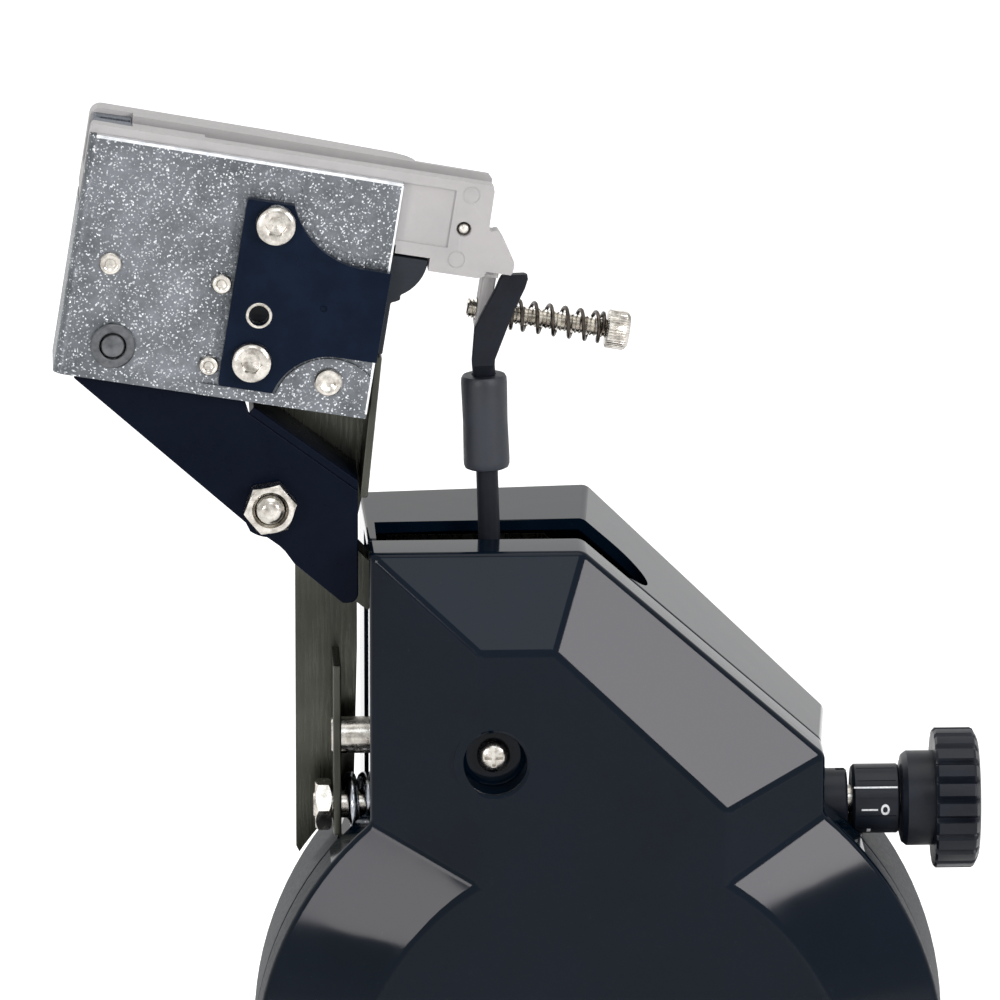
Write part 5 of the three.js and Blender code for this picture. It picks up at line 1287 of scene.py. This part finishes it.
def scale_marks():
    """Round the barrel, twice: a long line at a whole step, a short line with a nought, and a tick."""
    forms = []
    left, right = BARREL_X
    for half_turn in (0, 180):
        line, nought, tick = half_turn + 33, half_turn - 4.5, half_turn - 52
        forms.append(ink_patch(left + 0.3, right - 0.5, line - 1.5, line + 1.5))
        forms.append(ink_patch(left + 1.9, left + 5.4, nought - 1.5, nought + 1.5))
        forms.append(ink_ring(left + 7, nought, 0.95, 9.5, 0.45))
        forms.append(ink_patch(left + 3.2, left + 4, tick - 5.5, tick + 5.5))
    return merged(*forms)


def tension_knob():
    """Ribbed knob with a stepped collar, a dished end and its press-in cap."""
    start, end = KNOB_X
    per_rib = 10

    def groove(i, share):
        phase = i % per_rib / per_rib / GROOVE_SHARE
        return GROOVE_DEPTH * share * math.sin(math.pi * phase) if phase < 1 else 0

    profile = (
        (start - 0.05, -1.3, 0), (start, -0.5, 0.3), (start + 0.5, 0, 1), (end - 1.6, 0, 1),
        (end - 1.0, -0.3, 1), (end - 0.7, -0.9, 0.4), (end - 0.3, -1.6, 0), (end, -2.4, 0),
    )
    disc = ridged(profile, KNOB_RADIUS, KNOB_RIBS * per_rib, ROUND_ROD[1], groove)
    dish = turned([(11, end + 1), (10.6, end - 0.2), (10, end - 1.2), (6.4, end - 1.5), (6, end - 0.9),
                   (5.6, end + 1)], *ROUND_ROD, 64)
    disc = cut(disc, dish, bar(M6_HOLE, start - 1, 74.9, *ROUND_ROD, 32))
    a, b = COLLAR_X
    wide = COLLAR_RADIUS
    collar = [(M6_HOLE, a), (wide - 2.2, a), (wide - 0.8, a + 0.35), (wide, a + 1.4), (wide, b + 0.3),
              (M6_HOLE, b + 0.3)]
    return merged(disc, turned(collar, *ROUND_ROD, 72))


def tension_rod():
    core = bar(3, -61, 74.6, *ROUND_ROD, 32, 0.6)
    ridges = [thread(3.02, 1, a, b, *ROUND_ROD, 24) for a, b in ((-60.8, -54), (-10, 14))]
    return merged(core, *ridges)


def tension_spring():
    return coil(SPRING_RADIUS, SPRING_WIRE, SPRING_TURNS, *SPRING_X, ROUND_ROD[1], 30, 12)


def rod_end_nut():
    return hexagon(10, -60.6, -57.1, *ROUND_ROD, 3.15)


def spring_seat():
    return hexagon(14, 3, 10, *ROUND_ROD, 3.15, 1.2)


whole_piece("index_sleeve", index_sleeve(), "head", NYLON)
whole_piece("scale_barrel", scale_barrel(), "knob", NYLON)
piece("scale_marks", scale_marks(), "knob", INK, ["scale_barrel"])
whole_piece("tension_knob", tension_knob(), "knob", NYLON, 28)
whole_piece("tension_rod", tension_rod(), "knob", NICKEL)
whole_piece("rod_end_nut", rod_end_nut(), "knob", NICKEL)
whole_piece("spring_seat", spring_seat(), "seat", DARK)
spring = whole_piece("tension_spring", tension_spring(), "head", BIG_SPRING)
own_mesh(spring)


# Crank, brake and rail saddle


def crank_arm():
    """Forged flat arm, waisted between its round ends, with the grip's spindle riveted in."""
    near, far = CRANK_ARM_Y
    outline = [*arc(AXIS, 12, -20, 200, 36), (-8.2, -40), *arc(GRIP_PLACE, 9, 170, 370, 32), (8.2, -40)]
    arm = soften(prism(outline, near, far), 0.9, 3, 40)
    arm = cut(arm, peg(SHAFT_BORE, near - 1, far + 1, AXIS))
    spindle = peg(4, near - 72, near + 0.3, GRIP_PLACE, 32, 0.6)
    rivet_end = [(4, far - 0.3), (3.9, far + 0.3), (2.6, far + 0.8), (0.4, far + 0.9)]
    return merged(arm, spindle, spun(rivet_end, GRIP_PLACE, 40, closed=False))


def crank_nut():
    return hexagon(17, -51.8, -47.3, *along_y(AXIS), SHAFT_BORE, 1.2)


def crank_shaft():
    return merged(peg(6, -52.5, 25, AXIS, 48, 0.8), thread(6.02, 1.5, -52, -47.4, *along_y(AXIS), 32))


def crank_grip():
    """Hand grip with a full belly, ringed waists and a domed end."""
    start, end = GRIP_Y
    profile = [(4.3, start + 1.2), (4.3, end), (8.6, end), (9.6, end - 0.6), (9.9, end - 2), (9.6, end - 5)]
    for i in range(19):
        share = i / 18
        swell = 9.7 + 2.3 * math.sin(math.pi * (0.12 + 0.78 * share))
        ring = 0.22 if i % 3 == 1 else 0
        profile.append((min(swell, 12) - ring, end - 7 - share * 58))
    profile += [(10.4, start + 4), (9.9, start + 2), (8.8, start + 0.7), (7.2, start), (4.3, start)]
    return spun(profile, GRIP_PLACE, 64)


def brake_drum():
    """Turned drum: rim and hub either side of a thin web with lightening holes."""
    profile = [
        (SHAFT_BORE, 3), (9.6, 3), (10, 3.4), (10, 6), (26, 6), (26, 3.4), (26.4, 3), (29.6, 3), (30, 3.4),
        (30, 12.6), (29.6, 13), (26.4, 13), (26, 12.6), (26, 10), (10, 10), (10, 12.6), (9.6, 13),
        (SHAFT_BORE, 13),
    ]
    return cut(spun(profile, AXIS, 96), *[peg(3.5, 2, 14, place, 32) for place in arc(AXIS, 18, 0, 300, 5)])


def chain_sprocket():
    """Sprocket with curved roller seats between narrow teeth."""
    teeth, tip, root = 14, 19, 16
    points = []
    for k in range(teeth):
        middle = 360 / teeth * k
        for offset, radius in ((-9, tip - 0.4), (-6.8, tip), (-4.6, tip - 0.4), (-1, root + 0.9),
                               (2, root), (4.5, root), (7.5, root), (10.5, root + 0.9)):
            turn = math.radians(middle + offset)
            points.append((radius * math.cos(turn), radius * math.sin(turn)))
    near, far = SPROCKET_Y
    form = soften(prism(points, near, far), 0.25, 2, 40)
    return cut(form, peg(SHAFT_BORE, near - 1, far + 1, AXIS))


def idler(x):
    """Small nylon roller with a shallow groove."""
    near, far = SPROCKET_Y
    profile = [(3.3, near), (8.6, near), (9, 14.4), (9, 14.9), (8.2, 15.3), (8.2, 15.7), (9, 16.1),
               (9, 16.6), (8.6, far), (3.3, far)]
    return spun(profile, (x, IDLER_Z), 64)


whole_piece("crank_arm", crank_arm(), "crank", PLATE)
whole_piece("crank_nut", crank_nut(), "crank", NICKEL)
whole_piece("crank_shaft", crank_shaft(), "crank", NICKEL)
whole_piece("crank_grip", crank_grip(), "grip", NYLON)
whole_piece("brake_drum", brake_drum(), "crank", IRON)
whole_piece("chain_sprocket", chain_sprocket(), "crank", DARK)
for name, x in (("idler_left", -IDLER_X), ("idler_right", IDLER_X)):
    whole_piece(name, idler(x), name, WHITE)


def dress(node, material, round_mm):
    """Gives a CAD node its finish and rounds its edges a little, as the tumbling drum does."""
    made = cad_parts[node]
    for slot_place in made.material_slots:
        slot_place.material = material
    weld = made.modifiers.new("weld", "WELD")
    weld.merge_threshold = 0.01 * MM
    edge = made.modifiers.new("round", "BEVEL")
    edge.width = round_mm * MM
    edge.segments = 2
    edge.limit_method = "ANGLE"
    edge.angle_limit = math.radians(40)
    edge.harden_normals = True


# CAD nodes that are shown as they are: their finish, edge radius and names
CARRIED = (
    (PLATE, 0.25, ("chassis_front_plate", "chassis_rear_plate", "pivot_bracket")),
    (PLATE, 0.25, ("knob_bracket", "base_plate")),
    (ALUMINIUM, 0.4, ("rail_saddle",)),
    (WHITE, 0.5, ("glide_pad_left", "glide_pad_right")),
    (BRONZE, 0.4, ("bearing_front", "bearing_rear")),
    (BRONZE, 0.3, ("pivot_bush",)),
    (NICKEL, 0.4, ("lever_pin", "saddle_screw_left", "saddle_screw_right")),
    (NICKEL, 0.3, ("shell_post", "idler_pin_left", "idler_pin_right")),
)
for material, round_mm, nodes in CARRIED:
    for node in nodes:
        dress(node, material, round_mm)


# Camera, floor and lamps

FLOOR_HALF = 6.0
CAMERA_TARGET = Vector((-0.0033961, 0.04465, 0.2344))
CAMERA_TURN = math.radians(-2.3)
CAMERA_RISE = math.radians(14)
CAMERA_DISTANCE = 2.58
CAMERA_LENS = 432
LAMP_DISTANCE = 1.6
FLOOR_LIFT = 0.72
ROOM_LIFT = 0.62
ROOM_LIGHT = 0.38
# Each lamp's direction from the object, radiance, side in metres and colour
LAMPS = {
    "right_softbox": ((0.587, -0.745, 0.29), 19.5, 0.42, "#fffafc"),
    "left_softbox": ((-0.547, -0.806, 0.17), 13, 0.38, "#fffafc"),
    "front_softbox": ((0.04, -0.796, 0.606), 3.0, 0.5, "#eef6ff"),
    "top_softbox": ((0.1, -0.1, 1), 1.8, 1.1, "#ffffff"),
    "back_softbox": ((-0.5, 0.8, 0.55), 1.6, 0.9, "#ffffff"),
}


def show_as_white(material, strength):
    """Share of light that camera, glossy and transmission rays see beside what the lamps give."""
    path = add(material, "LightPath").outputs
    seen = path["Is Camera Ray"]
    for ray in ("Is Glossy Ray", "Is Transmission Ray"):
        seen = add(material, "Math", {"operation": "MAXIMUM"}, {0: seen, 1: path[ray]}).outputs[0]
    return add(material, "Math", {"operation": "MULTIPLY"}, {0: seen, 1: strength}).outputs[0]


def floor_material():
    """Pale matt studio floor, faintly uneven: lifted to white for the eye, with the shadow kept."""
    material, shader, place = finish("pale_studio_floor", Roughness=0.8)
    pattern = add(material, "TexNoise", inputs=cloudy(place, 160)).outputs["Fac"]
    connect(material, shader, Base_Color=two_tone(material, pattern, "#dcdcdc", "#e2e2e2"))
    shader.inputs["Emission Color"].default_value = linear("#ffffff")
    connect(material, shader, Emission_Strength=show_as_white(material, FLOOR_LIFT))
    return material


def make_floor():
    mesh = bpy.data.meshes.new("floor")
    corners = [(x * FLOOR_HALF, y * FLOOR_HALF, 0) for x, y in ((-1, -1), (1, -1), (1, 1), (-1, 1))]
    mesh.from_pydata(corners, [], [(0, 1, 2, 3)])
    mesh.materials.append(floor_material())
    put("floor", mesh)


def make_world():
    world = bpy.data.worlds.new("studio")
    bpy.context.scene.world = world
    world.use_nodes = True
    world.node_tree.nodes.clear()
    seen = show_as_white(world, ROOM_LIFT)
    level = add(world, "Math", {"operation": "ADD"}, {0: seen, 1: ROOM_LIGHT})
    back = add(world, "Background", inputs={"Color": linear("#ffffff"), "Strength": level.outputs[0]})
    add(world, "OutputWorld", inputs={"Surface": back.outputs[0]})


def aim(made, out, distance):
    """Stands a lamp or the camera off the object, looking at it."""
    made.location = CAMERA_TARGET + out * distance
    made.rotation_mode = "QUATERNION"
    made.rotation_quaternion = out.to_track_quat("Z", "Y")


def lamp(name, direction, radiance, size, colour):
    """A square softbox that faces the object; the camera doesn't see it, but gloss does."""
    light = bpy.data.lights.new(name, "AREA")
    light.shape = "SQUARE"
    light.size = size
    light.energy = radiance * math.pi * size * size
    light.color = linear(colour)[:3]
    made = put(name, light)
    aim(made, Vector(direction).normalized(), LAMP_DISTANCE)
    made.visible_camera = False


def make_camera():
    data = bpy.data.cameras.new("camera")
    data.lens = CAMERA_LENS
    data.sensor_width = 36
    data.clip_start, data.clip_end = 0.1, 50
    camera = put("camera", data)
    rise, turn = CAMERA_RISE, CAMERA_TURN
    back = Vector((math.sin(turn) * math.cos(rise), -math.cos(turn) * math.cos(rise), math.sin(rise)))
    aim(camera, back, CAMERA_DISTANCE)
    bpy.context.scene.camera = camera


make_floor()
make_world()
make_camera()
for lamp_name, lamp_values in LAMPS.items():
    lamp(lamp_name, *lamp_values)
bpy.context.scene.view_settings.view_transform = "Standard"
